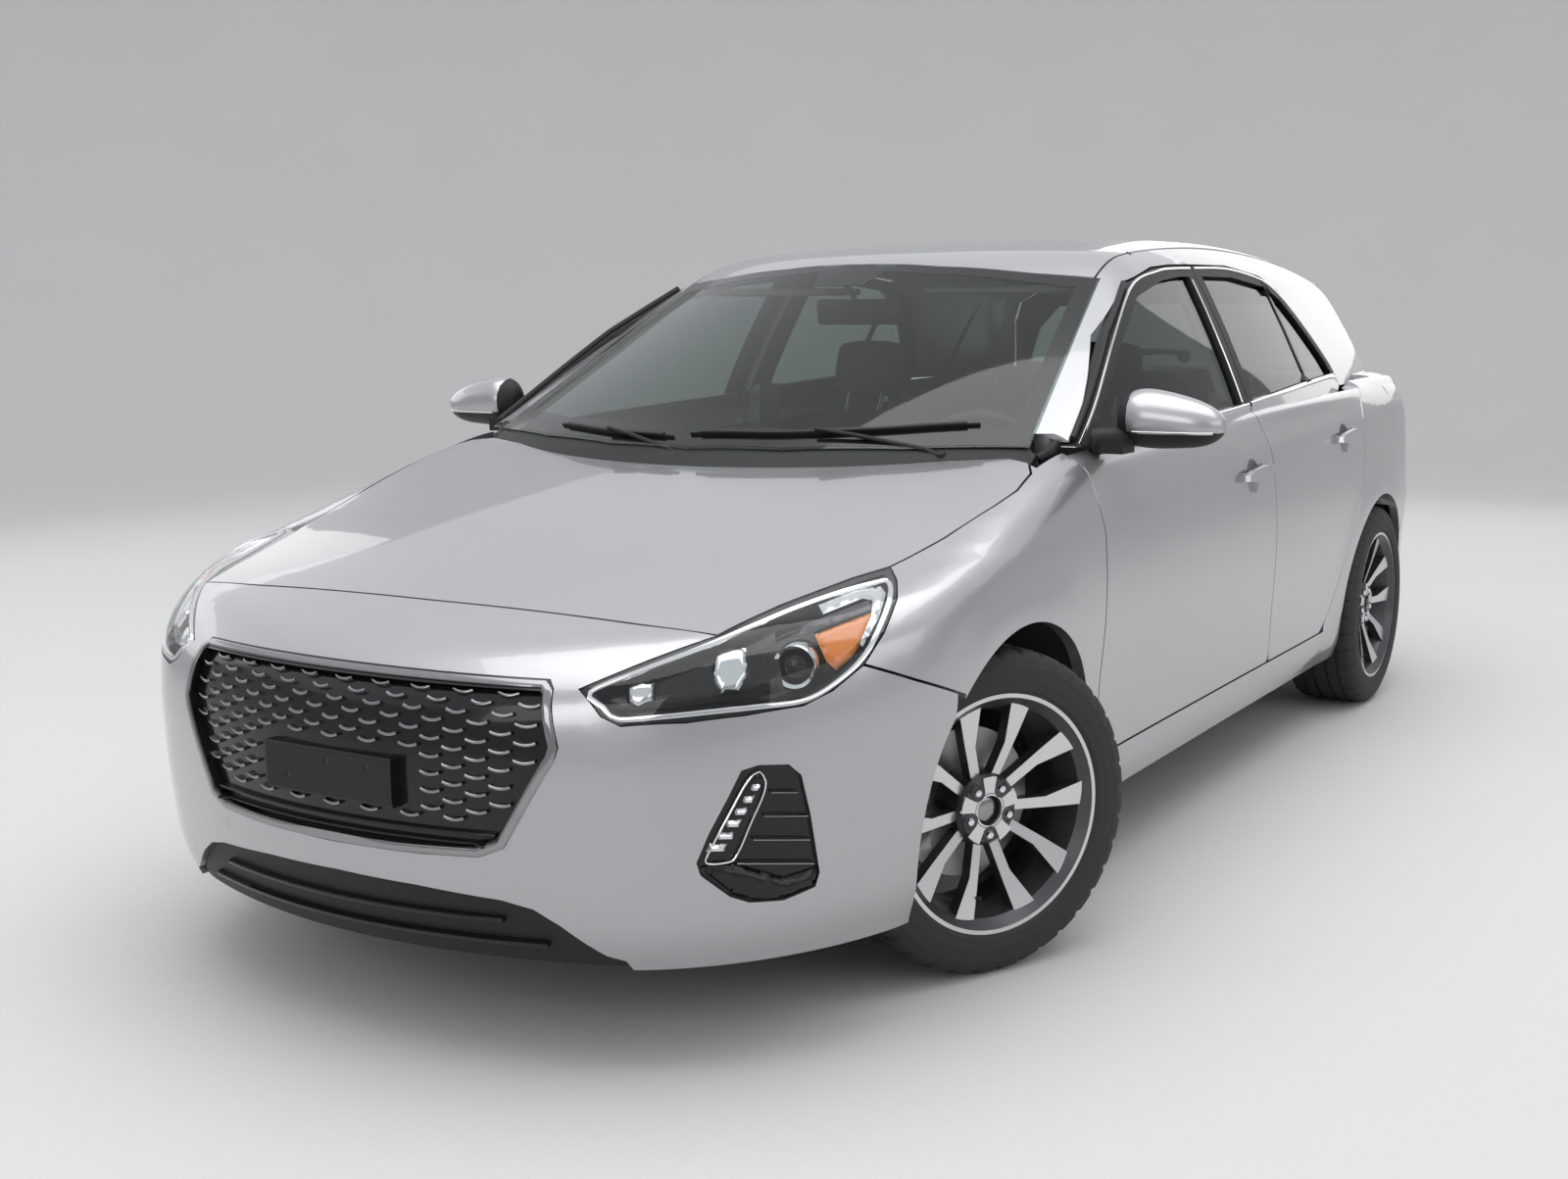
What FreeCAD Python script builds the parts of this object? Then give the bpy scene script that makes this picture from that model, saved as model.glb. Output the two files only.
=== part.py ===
import FreeCAD, Part
import os
from math import cos, exp, hypot, pi, radians, sin

Vector = FreeCAD.Vector
Rotation = FreeCAD.Rotation
Placement = FreeCAD.Placement

# Driving sizes, in millimetres and degrees
LENGTH = 4340.0
WIDTH = 1795.0
HEIGHT = 1465.0
WHEELBASE = 2650.0
FRONT_OVERHANG = 905.0
TRACK = 1563.0
TYRE_RADIUS = 317.0
TYRE_WIDTH = 225.0
KINGPIN_INSET = 45.0
RIM_RADIUS = 216.0
ARCH_CLEARANCE = 41.0
STEER_LEFT = -27.0
STEER_RIGHT = -30.0
SHUT_GAP = 5.0
SKIN = 26.0
GLASS = 5.0
SPOKE_PAIRS = 5

NOSE_X = LENGTH / 2
TAIL_X = -LENGTH / 2
FRONT_AXLE_X = NOSE_X - FRONT_OVERHANG
REAR_AXLE_X = FRONT_AXLE_X - WHEELBASE
ARCH_RADIUS = TYRE_RADIUS + ARCH_CLEARANCE

os.makedirs("parts", exist_ok=True)

# The shape is written for a car 4340 long, 1795 wide and 1465 high.
# X, Y and Z move a station of that car to the sizes asked for above.
BASE_STATIONS = (-2170.0, -1385.0, 1265.0, 2170.0)
REAL_STATIONS = (TAIL_X, REAR_AXLE_X, FRONT_AXLE_X, NOSE_X)


def X(x):
    k = 0
    while k < 2 and x > BASE_STATIONS[k + 1]:
        k += 1
    share = (x - BASE_STATIONS[k]) / (BASE_STATIONS[k + 1] - BASE_STATIONS[k])
    return REAL_STATIONS[k] + share * (REAL_STATIONS[k + 1] - REAL_STATIONS[k])


def Y(y):
    return y * WIDTH / 1795.0


def Z(z):
    return z * HEIGHT / 1465.0


def P(x, y, z):
    return Vector(X(x), Y(y), Z(z))


def curve_through(knots):
    """Return a smooth function of one number through the given pairs."""
    xs = [k[0] for k in knots]
    ys = [k[1] for k in knots]
    last = len(xs) - 1
    rise = [(ys[i + 1] - ys[i]) / (xs[i + 1] - xs[i]) for i in range(last)]
    slope = [rise[0]]
    for i in range(1, last):
        before = xs[i] - xs[i - 1]
        after = xs[i + 1] - xs[i]
        slope.append((rise[i - 1] * after + rise[i] * before) / (before + after))
    slope.append(rise[-1])

    def value(x):
        if x <= xs[0]:
            return ys[0] + slope[0] * (x - xs[0])
        if x >= xs[last]:
            return ys[last] + slope[last] * (x - xs[last])
        i = 0
        while x > xs[i + 1]:
            i += 1
        h = xs[i + 1] - xs[i]
        t = (x - xs[i]) / h
        a = (1 + 2 * t) * (1 - t) ** 2
        b = t * (1 - t) ** 2
        c = t * t * (3 - 2 * t)
        d = t * t * (t - 1)
        return a * ys[i] + b * h * slope[i] + c * ys[i + 1] + d * h * slope[i + 1]

    return value


def both(a, b, radius):
    """Join two inside-negative fields with a rounded edge."""
    u = max(radius + a, 0.0)
    v = max(radius + b, 0.0)
    return min(-radius, max(a, b)) + hypot(u, v)


# Lower body: plan of the sides, their section, nose, tail and top
side_plan = curve_through([
    (-2170, 800), (-1950, 856), (-1700, 884), (-1385, 893), (-900, 894), (0, 888),
    (700, 886), (1265, 891), (1600, 881), (1900, 856), (2170, 815)])
side_section = curve_through([
    (100, -95), (180, -70), (250, -42), (330, -30), (480, -16), (620, -2), (700, 0),
    (790, -4), (845, -10), (890, -26), (940, -47), (1000, -76), (1060, -112)])
crease_rise = curve_through([
    (-2170, 95), (-1300, 75), (0, 20), (1000, -35), (1600, -70), (2170, -95)])
nose_line = curve_through([
    (100, 2080), (160, 2120), (230, 2150), (320, 2163), (450, 2170), (560, 2166),
    (640, 2148), (700, 2116), (800, 2040)])
tail_line = curve_through([
    (150, -2080), (230, -2125), (400, -2160), (560, -2170), (630, -2158), (690, -2120),
    (750, -2098), (900, -2086), (1000, -2062), (1060, -2036)])
deck_line = curve_through([
    (-2170, 1050), (-1500, 1045), (-1000, 1030), (0, 1003), (700, 985), (930, 967),
    (1000, 957), (1100, 940), (1200, 921), (1400, 880), (1600, 833), (1800, 779),
    (1930, 737), (2000, 711), (2100, 672), (2200, 628)])
deck_drop = curve_through([
    (-2170, 0), (500, 2), (930, 8), (1200, 30), (1500, 50), (1700, 44), (1900, 28),
    (2170, 12)])


def side_y(x, z):
    lift = crease_rise(x) * min(1.0, max(0.0, (z - 500) / 330.0))
    y = side_plan(x) + side_section(z - lift)
    for axle in (1265, -1385):
        y += 7.0 * exp(-((hypot(x - axle, z - 317) - 365) / 75.0) ** 2)
    return y


def deck_z(x, y):
    return deck_line(x) - deck_drop(x) * (abs(y) / 750.0) ** 2.2


def lower_body(x, y, z):
    side = abs(y) - side_y(x, z)
    top = z - deck_z(x, y)
    if x > 0:
        end = x - nose_line(z) + 0.00038 * y * y
        return both(both(side, end, 290.0), top, 60.0)
    end = tail_line(z) + 0.00022 * y * y - x
    return both(both(side, end, 220.0), top, 60.0)


# Greenhouse: side glass, roof, windscreen and rear window
glass_plan = curve_through([
    (-2170, -135), (-1900, -98), (-1400, -48), (-800, -12), (-200, 0), (300, -2),
    (600, -14), (950, -40), (1200, -70)])
roof_line = curve_through([
    (-2170, 1305), (-2000, 1340), (-1750, 1384), (-1400, 1428), (-1000, 1456),
    (-700, 1465), (-400, 1462), (0, 1437), (300, 1397), (500, 1355), (1000, 1180)])


def glass_y(x, z):
    h = max(z - 1000.0, -60.0)
    return 822.0 + glass_plan(x) - 0.40 * h - 0.00028 * h * h


def roof_z(x, y):
    return roof_line(x) - 32.0 * (abs(y) / 600.0) ** 2.3


def screen_x(y, z):
    h = z - 955.0
    bow = 0.00036 + 0.0000005 * h
    return 1130.0 - 1.70 * h - 0.00028 * h * h - bow * y * y


def back_x(y, z):
    return -1840.0 - 0.655 * (1300.0 - z) + 0.00022 * y * y


def greenhouse(x, y, z):
    side = (abs(y) - glass_y(x, z)) * 0.92
    top = z - roof_z(x, y)
    front = (x - screen_x(y, z)) * 0.50
    rear = (back_x(y, z) - x) * 0.84
    return both(both(both(side, top, 75.0), front, 30.0), rear, 60.0)


def skin_point(field, origin, way, reach):
    """Walk in from outside along a ray until it meets the field's skin."""
    inner = 0.0
    outer = reach
    for step in range(26):
        t = (inner + outer) / 2
        if field(*[origin[k] + t * way[k] for k in range(3)]) < 0:
            inner = t
        else:
            outer = t
    return inner


def patch(rows):
    surface = Part.BSplineSurface()
    surface.interpolate(rows)
    return surface


def slab_between(outer, inner):
    """Close two patches of equal layout into one solid."""
    a = patch(outer)
    b = patch(inner)
    faces = [a.toShape(), b.toShape()]
    u0, u1, v0, v1 = a.bounds()
    s0, s1, t0, t1 = b.bounds()
    pairs = [(a.uIso(u0), b.uIso(s0)), (a.uIso(u1), b.uIso(s1)),
             (a.vIso(v0), b.vIso(t0)), (a.vIso(v1), b.vIso(t1))]
    for one, two in pairs:
        faces.append(Part.makeRuledSurface(one.toShape(), two.toShape()))
    shell = Part.makeShell(faces)
    shell.sewShape()
    solid = Part.makeSolid(shell)
    if solid.Volume < 0:
        solid.reverse()
    return solid


def ray_slab(field, rays, depth, proud=0.0, reach=1400.0):
    """Make a panel between a skin and a second skin depth inside it."""
    outer = []
    inner = []
    for row in rays:
        first = []
        second = []
        for origin, way in row:
            t = skin_point(field, origin, way, reach)
            near = [origin[k] + (t + proud) * way[k] for k in range(3)]
            far = [origin[k] + (t - depth) * way[k] for k in range(3)]
            first.append(P(*near))
            second.append(P(*far))
        outer.append(first)
        inner.append(second)
    return slab_between(outer, inner)


def steps(a, b, count):
    return [a + (b - a) * i / count for i in range(count + 1)]


def section_rays(x0, x1, columns, low, high, rows, y=480.0, z=560.0):
    """Rays in cross sections of the left side, turning from low to high degrees."""
    grid = []
    for x in steps(x0, x1, columns):
        line = []
        for turn in steps(low, high, rows):
            a = radians(turn)
            line.append(((x, y, z), (0.0, cos(a), sin(a))))
        grid.append(line)
    return grid


def globe_rays(centre, a0, a1, columns, e0, e1, rows):
    """Rays fanning out of one point by plan angle and elevation in degrees."""
    grid = []
    for turn in steps(a0, a1, columns):
        line = []
        for tilt in steps(e0, e1, rows):
            a = radians(turn)
            e = radians(tilt)
            line.append((centre, (cos(a) * cos(e), sin(a) * cos(e), sin(e))))
        grid.append(line)
    return grid


def parallel_rays(xs, ys, z, way=(0.0, 0.0, 1.0)):
    return [[((x, y, z), way) for y in ys] for x in xs]


def inset(points, gap):
    """Move every side of a closed outline inwards by gap."""
    area = 0.0
    count = len(points)
    for i in range(count):
        x0, z0 = points[i]
        x1, z1 = points[(i + 1) % count]
        area += x0 * z1 - x1 * z0
    sign = 1.0 if area > 0 else -1.0
    moved = []
    for i in range(count):
        ax, az = points[i - 1]
        bx, bz = points[i]
        cx, cz = points[(i + 1) % count]
        l1 = hypot(bx - ax, bz - az)
        l2 = hypot(cx - bx, cz - bz)
        n1 = (-(bz - az) / l1 * sign, (bx - ax) / l1 * sign)
        n2 = (-(cz - bz) / l2 * sign, (cx - bx) / l2 * sign)
        k = 1 + n1[0] * n2[0] + n1[1] * n2[1]
        k = max(k, 0.3)
        moved.append((bx + gap * (n1[0] + n2[0]) / k, bz + gap * (n1[1] + n2[1]) / k))
    return moved


def prism(points, way, out=1500.0, back=0.0, gap=0.0):
    """Run an outline of points in space along way, as a cutting block."""
    d = Vector(*way)
    d.normalize()
    side = Vector(0, 0, 1).cross(d)
    if side.Length < 0.3:
        side = Vector(0, 1, 0).cross(d)
    side.normalize()
    rise = d.cross(side)
    flat = [P(*p) for p in points]
    start = flat[0].dot(d)
    outline = [(p.dot(side), p.dot(rise)) for p in flat]
    if gap:
        outline = inset(outline, gap)
    top = start + out
    corners = [side * u + rise * v + d * top for u, v in outline]
    face = Part.Face(Part.makePolygon(corners + [corners[0]]))
    return face.extrude(d * -(out + back))


def skin_y(x, z):
    if z < 992:
        return side_y(x, z)
    return glass_y(x, z)


def side_prism(points, gap=0.0, lean=0.0, back=560.0):
    """Outline of X and Z on the left skin, run inwards and forwards by lean."""
    spots = [(x, skin_y(x, z), z) for x, z in points]
    return prism(spots, (-lean, 1.0, 0.0), 400.0, back, gap)


def box(x0, x1, y0, y1, z0, z1):
    a = P(min(x0, x1), min(y0, y1), min(z0, z1))
    b = P(max(x0, x1), max(y0, y1), max(z0, z1))
    d = b - a
    return Part.makeBox(d.x, d.y, d.z, a)


def cylinder(radius, length, centre, axis):
    axis = Vector(*axis)
    axis.normalize()
    return Part.makeCylinder(radius, length, Vector(*centre) - axis * (length / 2), axis)


def mirrored(shape):
    return shape.mirror(Vector(0, 0, 0), Vector(0, 1, 0))


def bent_bar(points, radius):
    """Round bar along a chain of points."""
    path = Part.makePolygon(points)
    way = points[1] - points[0]
    ring = Part.Wire([Part.makeCircle(radius, points[0], way)])
    sweep = Part.BRepOffsetAPI.MakePipeShell(path)
    sweep.add(ring)
    sweep.setTransitionMode(1)
    sweep.build()
    sweep.makeSolid()
    return sweep.shape()


def join(shapes):
    result = shapes[0]
    if len(shapes) > 1:
        result = shapes[0].multiFuse(shapes[1:])
    return result


def group(shapes):
    solids = []
    for shape in shapes:
        solids.extend(shape.Solids)
    return Part.makeCompound(solids)


NODES = {}


def keep(name, shape):
    solids = [s for s in shape.Solids if s.Volume > 500.0]
    if len(solids) == 1:
        shape = solids[0]
    else:
        shape = Part.makeCompound(solids)
    NODES[name] = shape
    shape.exportStep("parts/" + name + ".step")
    print(name, len(solids), round(sum(s.Volume for s in solids) / 1e6, 2), shape.isValid())


# Outlines on the skin of the left side, as X and Z
SPLIT = [(-338, 330), (-321, 457), (-296.5, 640), (-272, 822), (-252, 985), (-253, 1000),
         (-266, 1150), (-290, 1375)]
FRONT_DOOR = ([(830, 312), (858, 330), (871, 470), (866, 640), (859, 861), (850, 905),
               (850, 935), (852, 962), (842, 978), (704, 1058), (471, 1200), (215, 1324),
               (-11, 1363), (-150, 1372)] + SPLIT[::-1] + [(-330, 312)])
REAR_DOOR = ([(-352, 312)] + SPLIT + [
    (-600, 1378), (-885, 1352), (-1000, 1312), (-1084, 1248), (-1222, 1118),
    (-1262, 1062), (-1258, 1020), (-1200, 985), (-1162, 930), (-1147, 860), (-1149, 781),
    (-1120, 690), (-1057, 589), (-960, 450), (-880, 350), (-820, 312)])
FRONT_LIGHT = [(782, 972), (686, 1030), (462, 1166), (208, 1290), (-11, 1331),
               (-150, 1342), (-232, 1344), (-208, 1150), (-196, 1014), (400, 990)]
REAR_LIGHT = [(-300, 1020), (-312, 1150), (-336, 1346), (-600, 1346), (-878, 1322),
              (-976, 1286), (-1056, 1220), (-1180, 1104), (-1212, 1060), (-800, 1046)]
DOOR_LEAN = 0.27

side_skin = ray_slab(lower_body, section_rays(-1900, 1800, 58, -52, 56, 26), SKIN)
side_deep = ray_slab(lower_body, section_rays(-1400, 1000, 36, -42, 52, 22), 88.0)


def side_glass_rows(x0, x1, z0, z1, shift):
    rows = []
    for x in steps(x0, x1, 26):
        rows.append([P(x, glass_y(x, z) - shift, z) for z in steps(z0, z1, 10)])
    return rows


def side_glass_slab(x0, x1, z0, z1, near, far):
    return slab_between(side_glass_rows(x0, x1, z0, z1, near),
                        side_glass_rows(x0, x1, z0, z1, far))


frame_slab = side_glass_slab(-1420, 1000, 975, 1395, 0.0, 34.0)
SEAT = 0.3
side_space = ray_slab(lower_body, section_rays(-1900, 1800, 58, -52, 56, 26), SKIN + SEAT, 60.0)
door_space = ray_slab(lower_body, section_rays(-1400, 1000, 36, -42, 52, 22), 88.0 + SEAT, 60.0)


def under(block, space):
    """Trim a block back to the inner side of a panel."""
    pieces = block.cut(space).Solids
    return min(pieces, key=lambda s: abs(s.CenterOfMass.y) + abs(s.CenterOfMass.x) * 0.2)


def door(outline, light):
    cut = side_prism(outline, SHUT_GAP / 2, DOOR_LEAN)
    lower = side_deep.common(cut)
    upper = frame_slab.common(cut).common(side_prism(outline, SHUT_GAP / 2))
    upper = upper.cut(side_prism(light))
    return join([lower, upper])


handle_rays = section_rays(-1100, 140, 62, 27, 48, 10)
handle_slab = ray_slab(lower_body, handle_rays, -15.0, 31.0)
foot_slab = ray_slab(lower_body, handle_rays, 6.0, 20.0)


def with_handle(panel, x, z):
    """Set a pull handle and its finger cup on a door."""
    cup = Part.makeSphere(62.0, P(x, side_y(x, z) + 40, z - 3))
    panel = panel.cut(cup)
    grip = [(x - 104, z - 8), (x - 100, z + 16), (x - 50, z + 20), (x + 60, z + 12),
            (x + 96, z + 4), (x + 104, z - 12), (x + 60, z - 16), (x - 50, z - 12)]
    panel = panel.fuse(handle_slab.common(side_prism(grip)))
    for shift in (-86, 82):
        spot = x + shift
        pad = [(spot - 14, z - 6 - shift / 12), (spot - 14, z + 13 - shift / 12),
               (spot + 14, z + 13 - shift / 12), (spot + 14, z - 6 - shift / 12)]
        panel = panel.fuse(foot_slab.common(side_prism(pad)))
    return max(panel.Solids, key=lambda s: s.Volume)


front_door = with_handle(door(FRONT_DOOR, FRONT_LIGHT), -100, 846)
rear_door = with_handle(door(REAR_DOOR, REAR_LIGHT), -930, 888)
pane_slab = side_glass_slab(-1380, 960, 985, 1385, 12.0, 12.0 + GLASS)
front_pane = pane_slab.common(side_prism(FRONT_LIGHT, 0.3))
rear_pane = pane_slab.common(side_prism(REAR_LIGHT, 0.3))
keep("glass_front_left", front_pane)
keep("glass_front_right", mirrored(front_pane))
keep("glass_rear_left", rear_pane)
keep("glass_rear_right", mirrored(rear_pane))
keep("door_front_left", front_door)
keep("door_front_right", mirrored(front_door))
keep("door_rear_left", rear_door)
keep("door_rear_right", mirrored(rear_door))

# Outlines of the front, as points in space on the skin
HOOD_FRONT = [(1904, 0, 745), (1901, 250, 744), (1897, 462, 739), (1888, 621, 732)]
HOOD_SIDE = [(1740, 656, 768), (1588, 704, 796), (1512, 738, 810), (1362, 768, 846),
             (1200, 790, 885), (1113, 797, 908), (1022, 785, 932), (970, 755, 948)]
HOOD_REAR = [(950, 700, 958), (1030, 500, 958), (1085, 300, 956), (1117, 120, 952),
             (1123, 0, 950)]
LAMP = [(2052, 459, 656), (2058, 508, 616), (2048, 541, 601), (1995, 632, 606),
        (1932, 703, 613), (1855, 767, 621), (1808, 795, 640), (1748, 820, 675),
        (1691, 826, 720), (1616, 810, 768), (1557, 777, 792), (1512, 738, 810),
        (1588, 704, 796), (1740, 656, 768), (1888, 621, 732), (1978, 543, 698)]
LAMP_WAY = (0.60, 0.62, 0.50)
FOG = [(1942, 701, 524), (1920, 720, 531), (1879, 752, 527), (1860, 764, 506),
       (1845, 771, 438), (1823, 774, 330), (1828, 768, 305), (1874, 735, 290),
       (1921, 698, 294), (1947, 677, 308), (1984, 645, 350), (1989, 641, 372),
       (1976, 657, 420), (1957, 684, 480)]
FENDER = [(1748, 676), (1653, 637), (1512, 585), (1512, 300), (1200, 180), (840, 180),
          (840, 312), (830, 312), (858, 330), (871, 470), (866, 640), (859, 861),
          (850, 905), (846, 945), (852, 990), (1000, 1100), (1700, 1100), (1900, 900)]


def arch_tool(x, radius, y0, y1):
    return cylinder(radius, Y(y1 - y0), (x, Y((y0 + y1) / 2), TYRE_RADIUS), (0, 1, 0))


hood_outline = HOOD_FRONT + HOOD_SIDE + HOOD_REAR
hood_outline = hood_outline + [(x, -y, z) for x, y, z in hood_outline[::-1] if y > 1]
HOOD_WAY = (0.24, 0.0, 0.97)
hood_cut = prism(hood_outline, HOOD_WAY, 500.0, 120.0, SHUT_GAP / 2)
hood_hole = prism(hood_outline, HOOD_WAY, 500.0, 300.0, -SHUT_GAP / 2)


def hood_half(x):
    return 835.0 - 0.398 * max(0.0, x - 1450.0)


hood_rays = [[((x, hood_half(x) * share, 560.0), (0.0, 0.0, 1.0)) for share in steps(-1, 1, 24)]
             for x in steps(880, 1935, 30)]
hood_slab = ray_slab(lower_body, hood_rays, 22.0)
hood = hood_slab.common(hood_cut)
keep("hood", hood)

lamp_cut = prism(LAMP, LAMP_WAY, 400.0, 330.0, 2.0)
lamp_hole = prism(LAMP, LAMP_WAY, 400.0, 330.0)
NOSE_CENTRE = (1350.0, 0.0, 500.0)
corner_rays = globe_rays(NOSE_CENTRE, -78, 78, 52, -24, 32, 20)
nose_skin = ray_slab(lower_body, corner_rays, 20.0)
lamp_rays = globe_rays((1350.0, 200.0, 500.0), 8, 95, 34, -2, 42, 20)
lens_skin = ray_slab(lower_body, lamp_rays, 4.0, -1.0)
lens = lens_skin.common(lamp_cut).cut(hood_hole)
bowl_block = ray_slab(lower_body, lamp_rays, 75.0, -4.3)
bowl = bowl_block.common(prism(LAMP, LAMP_WAY, 400.0, 330.0, 3.0)).cut(hood_hole)
bowl_room = ray_slab(lower_body, lamp_rays, 62.0, 30.0)
bowl = bowl.cut(bowl_room.common(prism(LAMP, LAMP_WAY, 400.0, 330.0, 16.0)))
bowl = max(bowl.Solids, key=lambda s: s.Volume)
bowl_tab = box(1905, 1940, 430.3, 640, 655, 685).cut(bowl_room)
bowl = bowl.fuse(bowl_tab)
bowl = max(bowl.Solids, key=lambda s: s.Volume)
keep("headlamp_lenses", group([lens, mirrored(lens)]))
keep("headlamps", group([bowl, mirrored(bowl)]))

front_hole = side_prism(FRONT_DOOR, -SHUT_GAP / 2, DOOR_LEAN)
rear_hole = side_prism(REAR_DOOR, -SHUT_GAP / 2, DOOR_LEAN)
front_frame_hole = side_prism(FRONT_DOOR, -SHUT_GAP / 2)
rear_frame_hole = side_prism(REAR_DOOR, -SHUT_GAP / 2)
fender = side_skin.common(side_prism(FENDER, SHUT_GAP / 2, 0.0, 500.0))
fender = fender.cut(arch_tool(FRONT_AXLE_X, ARCH_RADIUS, 300, 1100))
fender = fender.cut(hood_hole)
fender = fender.cut(front_hole)
fender = fender.cut(box(700, 990, 400, 782, 700, 1200))
fender = fender.cut(lamp_hole)
fender = max(fender.Solids, key=lambda s: s.Volume)
keep("fender_left", fender)
keep("fender_right", mirrored(fender))


def front_prism(half, gap=0.0, back=700.0):
    """Outline of Y and Z, given for the left half, run back along X."""
    spots = [(2200.0, y, z) for y, z in half]
    spots += [(2200.0, -y, z) for y, z in half[::-1] if y > 1]
    return prism(spots, (1.0, 0.0, 0.0), 200.0, back, gap)


GRILLE_HALF = [(0, 364), (200, 366), (303, 372), (350, 392), (440, 545), (446, 565),
               (420, 655), (405, 668), (200, 668), (0, 668)]
INTAKE_HALF = [(0, 140), (540, 140), (524, 197), (497, 207), (470, 228), (432, 260),
               (390, 286), (336, 298), (175, 309), (0, 313)]
bumper_side = [(2300, 1000), (1700, 1000), (1748, 676), (1653, 637), (1512, 585),
               (1512, 150), (2300, 150)]
bumper_spots = [(x, 1100, z) for x, z in bumper_side]
bumper_keep = prism(bumper_spots, (0.0, 1.0, 0.0), 100.0, 2300.0, SHUT_GAP / 2)
nose_top = prism(hood_outline, HOOD_WAY, 900.0, 500.0, -SHUT_GAP / 2)
front_bumper = nose_skin.common(bumper_keep).cut(nose_top)
front_bumper = front_bumper.cut(box(0, 2300, -1000, 1000, 0, 178))
FOG_WAY = (0.78, 0.62, 0.0)
for cutter in (lamp_hole, prism(FOG, FOG_WAY, 400.0, 300.0)):
    front_bumper = front_bumper.cut(cutter)
    front_bumper = front_bumper.cut(mirrored(cutter))
front_bumper = front_bumper.cut(front_prism(GRILLE_HALF)).cut(front_prism(INTAKE_HALF))
for side in (1, -1):
    spot = (FRONT_AXLE_X, side * 850, TYRE_RADIUS)
    front_bumper = front_bumper.cut(cylinder(ARCH_RADIUS, 700.0, spot, (0, 1, 0)))
front_bumper = max(front_bumper.Solids, key=lambda s: s.Volume)
keep("front_bumper", front_bumper)

grille_rays = globe_rays(NOSE_CENTRE, -40, 40, 30, -20, 20, 14)
grille_slab = ray_slab(lower_body, grille_rays, 14.0, -28.0)
grille = grille_slab.common(front_prism(GRILLE_HALF, 0.3))
plate = box(2110, 2168, -150, 150, 442, 527)
surround = ray_slab(lower_body, grille_rays, 34.0, 1.0)
surround = surround.common(front_prism(GRILLE_HALF, 0.3)).cut(front_prism(GRILLE_HALF, 17.0))
keep("grille", join([grille, plate, surround]))
intake_rays = globe_rays(NOSE_CENTRE, -42, 42, 32, -27, -10, 12)
intake_slab = ray_slab(lower_body, intake_rays, 26.0, -12.0)
intake = intake_slab.common(front_prism(INTAKE_HALF, 0.3)).cut(box(0, 2300, -1000, 1000, 0, 182))
intake = max(intake.Solids, key=lambda s: s.Volume)
fog_slab = ray_slab(lower_body, globe_rays(NOSE_CENTRE, 30, 75, 16, -22, 12, 12), 22.0, -10.0)
fog = fog_slab.common(prism(FOG, FOG_WAY, 400.0, 300.0, 0.3))
keep("fog_lamps", group([fog, mirrored(fog)]))
keep("lower_intake", intake)

# Tailgate opening, seen along the way the tailgate lifts
GATE_WAY = (-0.85, 0.0, 0.53)
GATE_HALF = [(-1790, 0, 1377), (-1788, 300, 1372), (-1784, 480, 1352), (-1796, 552, 1322),
             (-1815, 592, 1240), (-1895, 640, 1070), (-1950, 688, 985), (-1982, 690, 900),
             (-2002, 655, 760), (-2022, 630, 702), (-2066, 500, 686), (-2122, 0, 680)]
gate_outline = GATE_HALF + [(x, -y, z) for x, y, z in GATE_HALF[::-1] if y > 1]
gate_cut = prism(gate_outline, GATE_WAY, 700.0, 260.0, SHUT_GAP / 2)
gate_hole = prism(gate_outline, GATE_WAY, 700.0, 260.0, -SHUT_GAP / 2)

# Windscreen, roof and rails
GLASS_NORMAL = (0.5, 0.0, 0.866)


def screen_rows(shift):
    rows = []
    for y in steps(-760, 760, 24):
        row = []
        for z in steps(945, 1400, 12):
            row.append(P(screen_x(y, z) - shift * 0.5, y, z - shift * 0.866))
        rows.append(row)
    return rows


screen_half = [(1110, 0, 958), (1085, 230, 960), (1010, 480, 966), (900, 722, 976),
               (250, 600, 1333), (310, 450, 1352), (355, 220, 1368), (366, 0, 1372)]
screen_outline = screen_half + [(x, -y, z) for x, y, z in screen_half[::-1] if y > 1]
windscreen = slab_between(screen_rows(0.0), screen_rows(GLASS)).common(
    prism(screen_outline, GLASS_NORMAL, 400.0, 400.0))
keep("windscreen", windscreen)

ROOF_HALF = [(366, 0), (355, 220), (310, 450), (252, 590), (0, 572), (-700, 556),
             (-1400, 540), (-1760, 522), (-1900, 500), (-1900, 0)]
roof_spots = [(x, y, 1300.0) for x, y in ROOF_HALF]
roof_spots += [(x, -y, 1300.0) for x, y in ROOF_HALF[::-1] if y > 1]
roof_rays = parallel_rays(steps(-2040, 460, 40), steps(-640, 640, 20), 1150.0)
roof_slab = ray_slab(greenhouse, roof_rays, 24.0)
roof = roof_slab.common(prism(roof_spots, (0, 0, 1), 400.0, 300.0, SHUT_GAP / 2))
roof = roof.cut(prism(screen_outline, GLASS_NORMAL, 400.0, 400.0, -0.4)).cut(gate_hole)
keep("roof_panel", roof)

# Roof rail, from the foot of the windscreen back to the tailgate
RAIL = [(960, 640, 915, 0.0), (700, 610, 1060, 0.0), (470, 570, 1175, 0.0),
        (300, 540, 1255, 0.3), (150, 520, 1300, 0.7), (-100, 505, 1325, 1.0),
        (-500, 500, 1345, 1.0), (-900, 500, 1330, 1.0), (-1300, 490, 1300, 1.0),
        (-1600, 470, 1265, 1.0), (-1900, 440, 1225, 1.0)]
rail_y = curve_through([(-k[0], k[1]) for k in RAIL])
rail_z = curve_through([(-k[0], k[2]) for k in RAIL])
rail_turn = curve_through([(-k[0], k[3]) for k in RAIL])


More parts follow.
